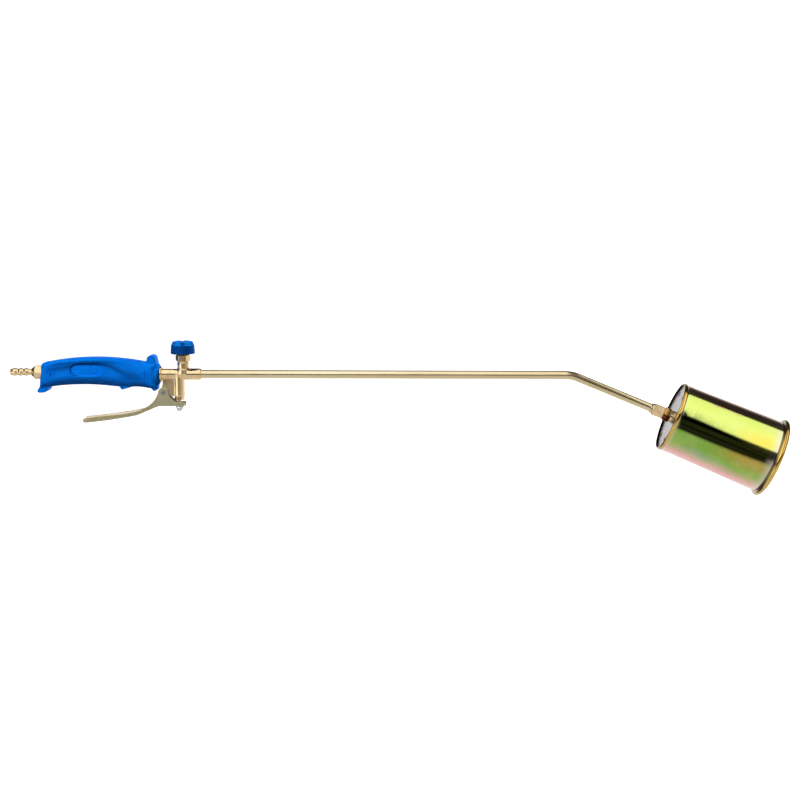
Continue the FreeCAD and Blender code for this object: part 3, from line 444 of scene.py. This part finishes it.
def spot(paint, u, v, centre, size):
    """1 at a centre in two coordinates, fading to 0 at the given half sizes."""
    across = paint.math("DIVIDE", paint.math("SUBTRACT", u, centre[0]), size[0])
    down = paint.math("DIVIDE", paint.math("SUBTRACT", v, centre[1]), size[1])
    away = paint.math("SQRT", paint.math("ADD", paint.math("MULTIPLY", across, across),
                                         paint.math("MULTIPLY", down, down)))
    fade = paint.span(away, 1, 0)
    fade.node.interpolation_type = "SMOOTHSTEP"
    return fade


def chromate(name):
    """Polished yellow chromate: bands of colour round the cup, paler towards its ends.

    All of it is painted at fixed places on the cup, to match the photo, and stays there when the
    lights or the camera move. The dark streak looks like a reflection of the studio in the photo,
    and one photo doesn't tell which of the bands are reflections too.

    run goes from 0 at the rear rim to 1 at the mouth, and level once round the cup: 0.5 on top,
    0.75 at the right side, 0 and 1 below.
    """
    paint = Paint(name)
    run = paint.math("DIVIDE", paint.along(BURNER_AXIS, BEND + BURNER_AXIS * CUP_REAR * MM),
                     CUP_LENGTH * MM)
    rise = paint.along(BURNER_UP, BEND)
    aside = paint.along(-ALONG_Y, BEND)
    angle = paint.math("ARCTAN2", aside, rise)
    wander = paint.math("SUBTRACT", paint.noise(14, 3, 0.55), 0.5)
    level = paint.span(angle, -math.pi, math.pi)
    turned = paint.math("ADD", level, paint.math("MULTIPLY", wander, 0.08))
    pink, green, lime = srgb(246, 186, 184), srgb(152, 198, 84), srgb(218, 236, 116)
    brown, olive = srgb(196, 152, 130), srgb(176, 176, 74)
    bands = paint.ramp(turned, (0.0, pink), (0.08, pink), (0.15, green), (0.23, olive),
                       (0.3, lime), (0.36, lime), (0.42, brown), (0.5, pink), (0.515, brown),
                       (0.575, brown), (0.6, lime), (0.72, lime), (0.75, green), (0.85, green),
                       (0.905, pink), (1.0, pink))
    yellow = spot(paint, run, turned, (0.76, 0.69), (0.32, 0.06))
    bands = paint.mix(yellow, bands, srgb(246, 226, 96))
    orange = spot(paint, run, turned, (0.74, 0.79), (0.46, 0.07))
    bands = paint.mix(orange, bands, srgb(206, 176, 74))
    teal = spot(paint, run, turned, (0.33, 0.862), (0.3, 0.035))
    bands = paint.mix(paint.math("MULTIPLY", teal, 0.5), bands, srgb(168, 196, 168))
    cloud = paint.noise(38, 4, 0.6)
    bands = paint.mix(paint.span(cloud, 0.45, 0.75, 0, 0.3), bands, srgb(244, 238, 170))
    # One dark streak along the side, widest at the rear: a painted reflection.
    above = paint.math("MAXIMUM", spot(paint, run, level, (0, 0.736), (0.98, 0.041)),
                       spot(paint, run, level, (0, 0.73), (0.12, 0.055)))
    above = paint.math("MULTIPLY", above, paint.span(level, 0.728, 0.723))
    below = paint.math("MULTIPLY", spot(paint, run, level, (0.25, 0.736), (1.43, 0.052)),
                       paint.span(level, 0.742, 0.747))
    between = paint.math("MULTIPLY", paint.span(level, 0.724, 0.728, 0, 0.14),
                         paint.span(level, 0.752, 0.748))
    wedge = paint.math("MAXIMUM", paint.math("MAXIMUM", above, below), between)
    wedge = paint.math("MINIMUM", paint.math("MULTIPLY", wedge, 4), 1)
    bands = paint.mix(wedge, bands, srgb(40, 42, 18))
    # Paler towards both ends: painted reflection.
    rear = paint.math("MULTIPLY", paint.span(run, 0.045, 0.02), 0.5)
    pale = paint.math("MAXIMUM", rear, paint.span(run, 0.86, 0.95))
    bands = paint.mix(paint.math("MULTIPLY", pale, 0.75), bands, srgb(240, 226, 208))
    # The rolled rims are gold, lighter and darker round the cup as painted reflection. The groove
    # behind the curl and the lip inside the rear rim are darkened as painted shade.
    rims = paint.math("MAXIMUM", paint.span(run, 0.022, 0.016), paint.span(run, 0.948, 0.956))
    gold = paint.ramp(turned, (0.0, srgb(170, 178, 130)), (0.12, srgb(214, 178, 124)),
                      (0.3, srgb(244, 208, 136)), (0.52, srgb(160, 160, 110)),
                      (0.6, srgb(226, 180, 92)), (0.78, srgb(240, 202, 108)),
                      (0.9, srgb(216, 176, 118)), (1.0, srgb(170, 178, 130)))
    bands = paint.mix(rims, bands, gold)
    groove = paint.math("MULTIPLY", paint.span(run, 0.938, 0.942), paint.span(run, 0.954, 0.95))
    bands = paint.mix(paint.math("MULTIPLY", groove, 0.8), bands, srgb(44, 38, 24))
    reach = paint.math("SQRT", paint.math("ADD", paint.math("MULTIPLY", rise, rise),
                                          paint.math("MULTIPLY", aside, aside)))
    lip = paint.math("MULTIPLY", paint.span(reach, 40.9 * MM, 40.5 * MM),
                     paint.span(run, 0.04, 0.03))
    bands = paint.mix(lip, bands, srgb(40, 30, 26))
    paint.colour(bands)
    streaks = paint.lines(run, 900, 3)
    paint.roughness(paint.span(paint.math("ADD", paint.noise(500, 3), streaks), 0.6, 1.4,
                               0.07, 0.15))
    paint.bump(streaks, 0.012 * MM)
    paint.set(Metallic=1.0)
    return paint.material


def lever_finish(name, crest, ear):
    """Mottled olive and tan chromate, bright inside and along the arm's top edge.

    The brightness is painted to match the photo and stays put when the lights move.
    crest holds the factors of the curve that the arm's top edge follows, and ear is where the
    arm meets the pivot ears; both are in millimetres.
    """
    paint = Paint(name)
    blotch = paint.noise(90, 4, 0.65, (1, 0.4, 0.8))
    speck = paint.noise(520, 5, 0.75, (0.7, 1, 1))
    tone = paint.ramp(blotch, (0.3, srgb(166, 172, 116)), (0.44, srgb(206, 200, 150)),
                      (0.53, srgb(208, 190, 156)), (0.66, srgb(188, 186, 130)))
    outside = paint.mix(paint.span(speck, 0.44, 0.66, 0, 0.5), tone, srgb(140, 122, 82))
    # Painted highlights: the channel's inner face and a band along the arm's top edge are painted
    # bright and made less metallic there, and the ears are painted paler.
    depth = paint.along(ALONG_Y)
    inner = paint.math("MULTIPLY", paint.span(depth, 2.5 * MM, 3 * MM),
                       paint.span(depth, 5.1 * MM, 4.9 * MM))
    run = paint.math("DIVIDE", paint.along(ALONG_X), MM)
    rise = paint.math("DIVIDE", paint.along(ALONG_Z), MM)
    top = crest[0]
    for factor in crest[1:]:
        top = paint.math("ADD", paint.math("MULTIPLY", top, run), factor)
    edge = paint.math("MULTIPLY", paint.span(paint.math("SUBTRACT", rise, top), -1.6, -1.0),
                      paint.span(run, ear, ear - 8))
    inner = paint.math("MAXIMUM", inner, edge)
    outside = paint.mix(paint.span(run, ear - 8, ear + 4, 0, 0.3), outside, srgb(236, 234, 208))
    paint.colour(paint.mix(inner, outside, srgb(248, 232, 204)))
    paint.roughness(paint.span(speck, 0.3, 0.7, 0.3, 0.46))
    paint.bump(speck, 0.02 * MM)
    paint.feed(paint.shader.inputs["Metallic"], paint.span(inner, 0, 1, 1, 0.1))
    return paint.material


BRASS_X = brass("brass_along", ALONG_X)
BRASS_Z = brass("brass_upright", ALONG_Z, VALVE)
BRASS_BURNER = brass("brass_burner", BURNER_AXIS, BURNER)
FINISH = {
    "steel": metal("steel", ((150, 150, 152), (205, 205, 205)), (0.2, 0.35)),
    "bright_steel": metal("bright_steel", ((215, 215, 218), (245, 245, 246)), (0.1, 0.2)),
    "chromated_tube": metal("chromated_tube", ((222, 200, 150), (245, 228, 190)),
                            (0.12, 0.22), stretch=(0.05, 1, 1)),
    "chromated_cup": chromate("chromated_cup"),
    "brass_brown_below": gold_brown_brass("brass_brown_below"),
    "forged_brass": metal("forged_brass", ((226, 186, 128), (250, 224, 176), (242, 206, 150)),
                          (0.14, 0.22), grain=200, depth=0.004 * MM),
    "plated_plate": metal("plated_plate", ((196, 192, 192), (216, 212, 212)), (0.25, 0.35)),
    "grip_plastic": grip_finish("grip_plastic"),
    "knob_plastic": knob_finish("knob_plastic"),
    "packing": plastic("packing", (235, 235, 230), (220, 220, 215)),
    "fibre": plastic("fibre", (150, 60, 40), (130, 50, 35)),
    "rubber": plastic("rubber", (30, 30, 32), (22, 22, 24)),
}


# ------------------------------------------------------------ mesh builders

def piece(name, mesh, body, finish, stands_for, sharp=False):
    """A shown mesh that rides on a body and stands for CAD nodes."""
    obj = bpy.data.objects.new(name, mesh)
    bpy.context.scene.collection.objects.link(obj)
    mesh.materials.clear()
    mesh.materials.append(finish)
    mesh.polygons.foreach_set("use_smooth", [True] * len(mesh.polygons))
    if sharp:
        obj.modifiers.new("even_shading", "WEIGHTED_NORMAL").keep_sharp = True
    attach(obj, body)
    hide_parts(*stands_for)


def rounded(profile, radius, steps=4):
    """A closed polyline with each corner turned into a small arc.

    A corner is (distance, radius), or (distance, radius, its own arc radius).
    """
    points = [np.array(p[:2], float) for p in profile]
    radii = [p[2] if len(p) > 2 else radius for p in profile]
    result = []
    for i, corner in enumerate(points):
        before, after = points[i - 1], points[(i + 1) % len(points)]
        back, ahead = before - corner, after - corner
        cut = min(radii[i], 0.45 * np.linalg.norm(back), 0.45 * np.linalg.norm(ahead))
        if cut < 1e-4:
            result.append(corner)
            continue
        start = corner + back / np.linalg.norm(back) * cut
        end = corner + ahead / np.linalg.norm(ahead) * cut
        for t in np.linspace(0, 1, steps):
            result.append((1 - t) ** 2 * start + 2 * t * (1 - t) * corner + t * t * end)
    return result


def hexagon(flats, turn):
    """Cuts a turned shape down to a hexagon."""
    def cut(angle, s, r):
        off = (angle - turn + math.pi / 6) % (math.pi / 3) - math.pi / 6
        return min(r, flats / 2 / math.cos(off))
    return cut


def skin(name, mesh, rings):
    """Joins a closed loop of vertex rings into a mesh."""
    around = len(rings[0])
    for ring, following in zip(rings, rings[1:] + rings[:1]):
        for i in range(around):
            j = (i + 1) % around
            mesh.faces.new((ring[i], ring[j], following[j], following[i]))
    bmesh.ops.remove_doubles(mesh, verts=mesh.verts, dist=1e-7)
    bmesh.ops.recalc_face_normals(mesh, faces=mesh.faces)
    data = bpy.data.meshes.new(name)
    mesh.to_mesh(data)
    mesh.free()
    return data


def ring_points(centre, axis, reach, around):
    """Points of a ring round an axis, in metres; reach gives the radius at an angle."""
    up = ALONG_Y.cross(axis).normalized()
    for angle in np.linspace(0, 2 * math.pi, around, endpoint=False):
        yield (centre + (ALONG_Y * math.cos(angle) + up * math.sin(angle)) * reach(angle) * MM)


def spin(name, profile, origin, axis, cut=None, around=144):
    """A turned mesh from a closed (distance along the axis, radius) loop in millimetres."""
    mesh = bmesh.new()
    rings = []
    for s, r in profile:
        reach = (lambda angle: cut(angle, s, r)) if cut else (lambda angle: r)
        rings.append([mesh.verts.new(point) for point in
                      ring_points(origin + axis * s * MM, axis, reach, around)])
    return skin(name, mesh, rings)


def melted(name, node, voxel, smooth, fill=None):
    """A CAD node, and a box to fill its hollow, fused into an evenly divided, softened mesh."""
    mesh = bmesh.new()
    mesh.from_mesh(NODES[node].data)
    if fill:
        low, high = (Vector(corner) for corner in fill)
        for vert in bmesh.ops.create_cube(mesh, size=1)["verts"]:
            vert.co = Vector([(a + b) / 2 + c * (b - a) for a, b, c in zip(low, high, vert.co)])
    data = bpy.data.meshes.new(name)
    mesh.to_mesh(data)
    mesh.free()
    scratch = bpy.data.objects.new(name + "_blank", data)
    bpy.context.scene.collection.objects.link(scratch)
    remesh = scratch.modifiers.new("even", "REMESH")
    remesh.mode = "VOXEL"
    remesh.voxel_size = voxel * MM
    soften = scratch.modifiers.new("soften", "SMOOTH")
    soften.factor = 0.5
    soften.iterations = smooth
    graph = bpy.context.evaluated_depsgraph_get()
    result = bpy.data.meshes.new_from_object(scratch.evaluated_get(graph))
    result.name = name
    bpy.data.objects.remove(scratch)
    return result


def step(value, low, high):
    """Smooth step from 0 at low to 1 at high."""
    t = np.clip((value - low) / (high - low), 0, 1)
    return t * t * (3 - 2 * t)


def vertex_values(mesh, kind):
    flat = np.zeros(len(mesh.vertices) * 3, np.float32)
    mesh.vertices.foreach_get(kind, flat)
    return flat.reshape(-1, 3)


def coordinates(mesh):
    """Places of a mesh's vertices in millimetres."""
    return vertex_values(mesh, "co").astype(float) / MM


def set_coordinates(mesh, points):
    mesh.vertices.foreach_set("co", (points * MM).astype(np.float32).ravel())
    mesh.update()


# ------------------------------------------------------------ grip

# Places are (x, z) in millimetres of the row frame. The oval recess is its middle's x and z, half
# its straight length and its end radius. Each side profile is (share of the height, depth).
GRIP_LOW, GRIP_HIGH = box_mm("handle_right_shell")
GRIP_REAR = GRIP_LOW.x + 5.6
GRIP_FRONT = GRIP_HIGH.x - 2.7
OVAL = (89.4, 3.8, 12.2, 7.0)
DISCS = ((79.6, 4.4), (99.6, 4.4))
SHELL_SCREWS = ((62.8, 9.2), (107, -10.4), (150.2, 8.8))
GRIP_CORE = ((46, 0.4, -13.3), (167, 11.2, 9.3))
SIDE_REAR = ((0, 3.6), (0.08, 3.4), (0.24, 0.9), (0.34, 0.1), (0.48, 0.8), (0.62, 1.7),
             (0.7, 2.7), (0.78, 3.2), (0.83, 2.8), (0.9, 0.9), (0.95, 0.2), (1, 0))
SIDE_FRONT = ((0, 3.0), (0.1, 2.4), (0.28, 0.9), (0.4, 0.1), (0.5, 0.4), (0.62, 1.3),
              (0.8, 3.0), (0.92, 4.0), (1, 4.4))


def curve(points, at):
    """Smooth interpolation through (position, height) points."""
    xs, ys = np.array(points).T
    fine = np.linspace(xs[0], xs[-1], 400)
    heights = np.interp(fine, xs, ys)
    kernel = np.hanning(33) / np.hanning(33).sum()
    heights = np.convolve(np.pad(heights, 16, "edge"), kernel, "valid")
    return np.interp(at, fine, heights)


def oval_distance(x, z):
    """Distance outside the edge of the oval recess, negative inside it."""
    centre_x, centre_z, straight, radius = OVAL
    along = np.maximum(np.abs(x - centre_x) - straight, 0)
    return np.hypot(along, z - centre_z) - radius


def bell(value, centre, width):
    return np.exp(-((value - centre) / width) ** 2)


def oval_depth(x, z):
    """Depth of the oval recess and of the grooves round its two plain discs."""
    distance = oval_distance(x, z)
    depth = 2.0 * (1 - step(distance, -0.7, 0.7)) - 0.3 * bell(distance, 1.5, 0.8)
    for disc_x, disc_z in DISCS:
        out = np.hypot(x - disc_x, z - disc_z)
        depth += 0.6 * bell(out, 5.3, 0.8) + 0.25 * (1 - step(out, 2.2, 3.2))
    return depth


def hollow_shade(x, z, height, out):
    """How dark to paint the long hollow, which runs lower towards the front, and the oval's rim."""
    stations = (52, 62, 72, 84, 104, 120, 140, 160)
    middles = np.interp(x, stations, (0.68, 0.69, 0.72, 0.79, 0.8, 0.7, 0.46, 0.44))
    widths = np.interp(x, stations, (0.1, 0.12, 0.11, 0.07, 0.07, 0.1, 0.16, 0.15))
    depths = np.interp(x, (38, 52, 72, 104, 120, 140, 152, 162),
                       (0, 0.7, 0.95, 0.95, 0.8, 0.62, 0.5, 0))
    distance = oval_distance(x, z)
    upper_rear = step(z - 0.6 * (x - OVAL[0]), -2, 6)
    rim = 0.8 * bell(distance, -0.2, 0.7) * upper_rear
    shade = depths * bell(height, middles, widths) * step(distance, -0.4, 0.4)
    return np.maximum(shade, rim) * step(out, 7, 10)


def sculpt_grip(mesh, side):
    """Hollows the palm sides, opens out the thumb rest and presses in the oval."""
    points = coordinates(mesh)
    x, y, z = points.T
    out = side * y
    centres = np.arange(GRIP_REAR + 2, GRIP_FRONT - 2, 1.5)
    flank = out > 10.9
    slices = [z[flank & (np.abs(x - centre) < 1.2)] for centre in centres]
    known, floors, tops = np.array([(centre, part.min(), part.max())
                                    for centre, part in zip(centres, slices) if len(part)]).T
    fit_top = np.polynomial.Polynomial.fit(known, tops, 4)
    fit_floor = np.polynomial.Polynomial.fit(known, floors, 4)
    inside = np.clip(x, centres[0], centres[-1])
    top, floor = fit_top(inside) + 1.2, fit_floor(inside) - 1.2
    height = np.clip((z - floor) / (top - floor), 0, 1)
    front = step(x, 112, 150)
    depth = (1 - front) * curve(SIDE_REAR, height) + front * curve(SIDE_FRONT, height)
    depth *= 0.25 + 0.75 * step(x, GRIP_REAR + 7, GRIP_REAR + 24)
    depth *= 1 - step(x, GRIP_FRONT - 15, GRIP_FRONT - 5)
    if side > 0:
        for screw_x, screw_z in SHELL_SCREWS:
            reach = np.hypot(x - screw_x, z - screw_z)
            depth *= 0.35 + 0.65 * step(reach, 4, 9)
    depth += oval_depth(x, z)
    waist = 0.9 * bell(x, 112, 30)
    weight = step(out, 5.5, 11)
    points[:, 1] = side * (out - weight * (depth + waist))
    points[:, 2] += 1.7 * step(z, 13.2, 18.6) * step(x, GRIP_FRONT - 16, GRIP_FRONT - 12)
    hollow = mesh.attributes.new("hollow", "FLOAT", "POINT")
    hollow.data.foreach_set("value", hollow_shade(x, z, height, out).astype(np.float32))
    upward = vertex_values(mesh, "normal")[:, 2]
    seam = bell(out, 0, 0.45) * (np.abs(upward) > 0.3)
    points[:, 2] -= 0.3 * seam * np.sign(upward)
    set_coordinates(mesh, points)


def build_grip():
    (rear, near, low), (front, far, high) = GRIP_CORE
    for node, name, side in (("handle_right_shell", "grip_right_shell", -1),
                             ("handle_left_shell", "grip_left_shell", 1)):
        inner, outer = sorted((near * side * MM, far * side * MM))
        core = ((rear * MM, inner, low * MM), (front * MM, outer, high * MM))
        mesh = melted(name, node, voxel=0.5, smooth=5, fill=core)
        sculpt_grip(mesh, side)
        piece(name, mesh, "torch", FINISH["grip_plastic"], [node])


build_grip()


# ------------------------------------------------------------ knob

def flute(angle):
    """Depth share of the flutes round the knob's crown."""
    return max(0, math.cos(FLUTES * (angle - FLUTE_TURN))) ** 1.5


def divided(profile, length):
    """A closed polyline with its long sides cut into short ones."""
    points = []
    for first, second in zip(profile, profile[1:] + profile[:1]):
        count = max(1, int(np.linalg.norm(second - first) / length))
        points += [first + (second - first) * k / count for k in range(count)]
    return points


def build_knob():
    """A plain skirt under a lobed crown with a dished top."""
    low, high = box_mm("knob")
    bottom, top = low.z, high.z
    edge = bottom + 11
    profile = rounded([
        (bottom + 1, 2.45), (bottom + 1, 5), (bottom + 4.2, 5), (bottom + 4.2, 11.6),
        (bottom, 12.4), (bottom, 14.6, 0.9), (edge, 13.9, 0.9), (edge + 0.35, 13.1, 0.3),
        (edge + 1.8, 12.9, 0.6), (top - 0.7, 12.3, 0.7), (top, 11.2, 0.6), (top, 7.0, 0.8),
        (top - 1.7, 5.9, 0.5), (top - 1.7, 3.5, 0.2), (top - 3, 3.5, 0.1), (top - 3, 1.55, 0.1),
        (top - 4, 1.55, 0.1), (top - 4, 2.45, 0.1)], 0.35, 6)

    def lobes(angle, s, r):
        if s <= edge + 0.2 or r < 7:
            return r
        rise = min(1, (s - edge - 0.2) / 0.8)
        return r - 3.4 * flute(angle) * rise * min(1, (r - 7) / 4)

    mesh = spin("knob", divided(profile, 0.6), ALONG_X * KNOB.x, ALONG_Z, lobes, around=216)
    points = coordinates(mesh)
    across, ahead = points[:, 0] - KNOB.x / MM, points[:, 1]
    dip = np.array([flute(angle) for angle in np.arctan2(across, ahead)])
    points[:, 2] -= (1.9 * dip * step(np.hypot(across, ahead), 6.2, 9)
                     * step(points[:, 2], edge + 0.4, top))
    set_coordinates(mesh, points)
    piece("flame_knob", mesh, "knob", FINISH["knob_plastic"], ["knob"])


build_knob()


# ------------------------------------------------------------ turned and hexagon parts

def build_hose_end():
    """Ridged nipple and hexagon union nut."""
    tip = box_mm("hose_barb")[0].x
    ridges = []
    for centre in (0, 6.6, 13.2):
        ridges += [(centre - 0.9, 4.78, 0.5), (centre + 0.8, 4.85, 0.5),
                   (centre + 1.9, 4.1, 0.8), (centre + 3.1, 3.75, 1.2),
                   (centre + 4.4, 4.05, 1.0)]
    ridges = ridges[:-2]
    profile = rounded([(tip, 2.2), (tip, 3.5, 0.5), (-3.2, 4.35, 1.2)] + ridges + [
        (16.6, 3.9, 1), (25.2, 3.9, 0.1), (25.2, 5.7, 0.1), (27.6, 5.7, 0.1),
        (27.6, 2.2, 0.1)], 0.3, 5)
    mesh = spin("barb", profile, Vector(), ALONG_X)
    piece("ridged_nipple", mesh, "torch", BRASS_X, ["hose_barb"], sharp=True)
    profile = rounded([
        (20.6, 4.1), (20.6, 4.9, 0.5), (23.4, 7.1, 0.3), (24.0, 7.7), (25.6, 9.6, 0.1),
        (34.6, 9.6, 0.1), (36, 8.3), (36, 6.35, 0.1), (25.1, 6.35, 0.1), (25.1, 4.1, 0.1)], 0.2)
    mesh = spin("union", profile, Vector(), ALONG_X, hexagon(16, math.pi / 6), around=180)
    piece("union_nut", mesh, "torch", BRASS_X, ["hose_union_nut"], sharp=True)


build_hose_end()


def build_lance():
    """The lance as a smooth sweep: straight, bend, straight."""
    start, bend = box_mm("main_tube")[0].x, BEND / MM
    radius, outer, bore = 40, 5.0, 3.5
    turn = math.acos(BURNER_AXIS.x)
    cut = radius * math.tan(turn / 2)
    path = [(Vector((start + (bend.x - cut - start) * k / 60, 0, bend.z)), ALONG_X)
            for k in range(61)]
    for a in np.linspace(0, turn, 25)[1:]:
        path.append((Vector((bend.x - cut + radius * math.sin(a), 0,
                             bend.z - radius * (1 - math.cos(a)))),
                     Vector((math.cos(a), 0, -math.sin(a)))))
    last, end = path[-1][0], bend + BURNER_AXIS * LANCE_END
    path += [(last.lerp(end, k / 12), BURNER_AXIS) for k in range(1, 13)]
    mesh = bmesh.new()
    rings = [[mesh.verts.new(point) for point in
              ring_points(place * MM, along, lambda angle: reach, 56)]
             for reach, order in ((outer, 1), (bore, -1)) for place, along in path[::order]]
    piece("lance_tube", skin("lance", mesh, rings), "torch",
          FINISH["chromated_tube"], ["main_tube"], sharp=True)


build_lance()


def build_cup():
    """Spun cup: rolled seam at the rear, slightly flared wall and a curled mouth."""
    wall = [(s, 41.4 + 2.8 * (s - 129.4) / 124) for s in np.arange(145.4, 251.5, 4)]
    profile = [(126.8, 40.2, 0.4), (126.8, 41.2, 1.2), (127.7, 42.4, 1.0), (129.2, 42.5, 1.2),
               (130.9, 42.35, 0.9), (131.8, 41.9, 0.4), (132.6, 41.75, 0.5), (136, 41.75, 1.5)]
    profile += [(s, r, 0.5) for s, r in wall]
    profile += [(252.3, 44.1, 0.5), (252.9, 44.6, 0.5)]
    for a in np.radians(np.arange(-70, 181, 12)):
        profile.append((min(256.1 + 3.25 * math.sin(a), 259.3),
                        min(45.15 + 3.25 * math.cos(a), 48.45), 0.2))
    profile += [(256.1, 42.95, 0.4)]
    profile += [(s, r - 1.2, 0.3) for s, r in wall[::-1]]
    profile += [(131.4, 40.2, 0.3), (130.9, 39.6, 0.3)]
    mesh = spin("cup", rounded(profile, 0.3), BEND, BURNER_AXIS, around=224)
    piece("spun_cup", mesh, "torch", FINISH["chromated_cup"], ["burner_cup"])


build_cup()


def nut(name, node, origin, axis, flats, turn, start, end, bore, finish, head=(), tail=()):
    """A brass hexagon with turned chamfers at both ends, and its turned head and tail."""
    face, corner = flats / 2 - 0.5, flats / 2 / math.cos(math.pi / 6) + 0.05
    profile = rounded([
        *(head or [(start, bore, 0.1)]), (start, face, 0.25), (start + 0.7, corner, 0.1),
        (end - 0.7, corner, 0.1), (end, face, 0.25), *(tail or [(end, bore, 0.1)])], 0.2)
    mesh = spin(name, profile, origin, axis, hexagon(flats, math.radians(turn)),
                around=180)
    piece(name + "_hexagon", mesh, "torch", finish, [node], sharp=True)


def dome_nut():
    """Domed hexagon nut that ends the lever valve's stem."""
    low, high = box_mm("stem_nut")
    bottom, top = low.z, high.z
    dome = [(bottom + 3.6 - 3.6 * math.sin(a), 3.95 * math.cos(a))
            for a in np.radians(np.arange(0, 85, 12))]
    profile = rounded([
        (top, 2.05, 0.1), (top, 3.6), (top - 0.5, 4.7, 0.3), (top - 1.9, 4.7, 0.3),
        (top - 2.4, 4.0), *dome, (bottom, 0.02), (bottom + 0.7, 0.02),
        (bottom + 0.7, 2.05, 0.1)], 0.2, 6)
    place = ALONG_X * middle("stem_nut").x
    mesh = spin("end_nut", profile, place, ALONG_Z, hexagon(8.4, math.radians(8)))
    piece("domed_end_nut", mesh, "plunger", FINISH["bright_steel"],
          ["stem_nut"], sharp=True)


def build_nuts():
    low, high = box_mm("gland_nut")
    top, bottom = high.z, VALVE.z / MM + 15.8
    nut("gland", "gland_nut", ALONG_X * VALVE.x, ALONG_Z, flats=15.2, turn=-4, start=bottom,
        end=top, bore=2.5, finish=BRASS_Z,
        head=[(low.z, 2.5, 0.1), (low.z, 4.9, 0.1), (bottom, 4.9, 0.1)])
    nut("adapter", "tube_adapter", BEND, BURNER_AXIS, flats=13, turn=20, start=103.8, end=118,
        bore=2.2, finish=BRASS_BURNER,
        head=[(112, 2.2), (112, 5.05, 0.1), (101.2, 5.05, 0.1), (101.2, 5.8), (103.2, 6.1)],
        tail=[(118, 5.4, 0.1), (123, 5.4, 0.3), (123, 2.2, 0.1)])
    nut("union", "burner_nut", BEND, BURNER_AXIS, flats=15.6, turn=30, start=118.3, end=126.4,
        bore=5.45, finish=FINISH["brass_brown_below"])
    dome_nut()


build_nuts()


# ------------------------------------------------------------ valve and lever

def coin_lever(mesh):
    """Rounds over the outer top edges of the lever's long arm.

    Gives back the curve of the arm's top edge and the x where the arm meets the pivot ears.
    """
    points = coordinates(mesh)
    x, y, z = points.T
    ear = VALVE.x / MM - 31
    stations = np.arange(x.min() + 0.6, ear, 1.2)
    walls = np.abs(y) > 4.8
    tops = np.array([z[walls & (np.abs(x - s) < 0.8)].max() for s in stations])
    crest = np.polyfit(stations, tops, 3)
    below = np.interp(x, stations, tops) - z
    share = np.clip(1 - below / 2.4, 0, 1)
    arm = 1 - step(x, ear - 6, ear)
    outer = step(np.abs(y), 5.4, 6.4)
    points[:, 1] -= np.sign(y) * 1.3 * outer * arm * (1 - np.sqrt(1 - share ** 2))
    set_coordinates(mesh, points)
    return [float(factor) for factor in crest], ear


def build_valve_and_lever():
    forged = melted("valve", "valve_body", voxel=0.4, smooth=4)
    piece("forged_valve", forged, "torch", FINISH["forged_brass"], ["valve_body"])
    stamped = melted("stamping", "lever", voxel=0.32, smooth=3)
    finish = lever_finish("chromated_lever", *coin_lever(stamped))
    piece("stamped_lever", stamped, "lever", finish, ["lever"])


build_valve_and_lever()


# ------------------------------------------------------------ CAD nodes

VALVE_START, BURNER_START = 0.18, 0.7
SLOTS = {part["node"]: part["material_slot"] for part in frame["record"]["subparts"]}


def brass_at(x):
    """The brass whose turning lines suit a part that starts at x."""
    return BRASS_BURNER if x > BURNER_START else BRASS_Z if x > VALVE_START else BRASS_X


for name, obj in NODES.items():
    if obj.hide_render:
        continue
    slot = SLOTS[name]
    finish = brass_at(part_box(name)[0].x) if slot == "brass" else FINISH[slot]
    obj.data.materials.clear()
    obj.data.materials.append(finish)
    bevel = obj.modifiers.new("worn_edges", "BEVEL")
    bevel.width = 0.2 * MM
    bevel.segments = 2
    bevel.limit_method = "ANGLE"
    bevel.angle_limit = math.radians(40)
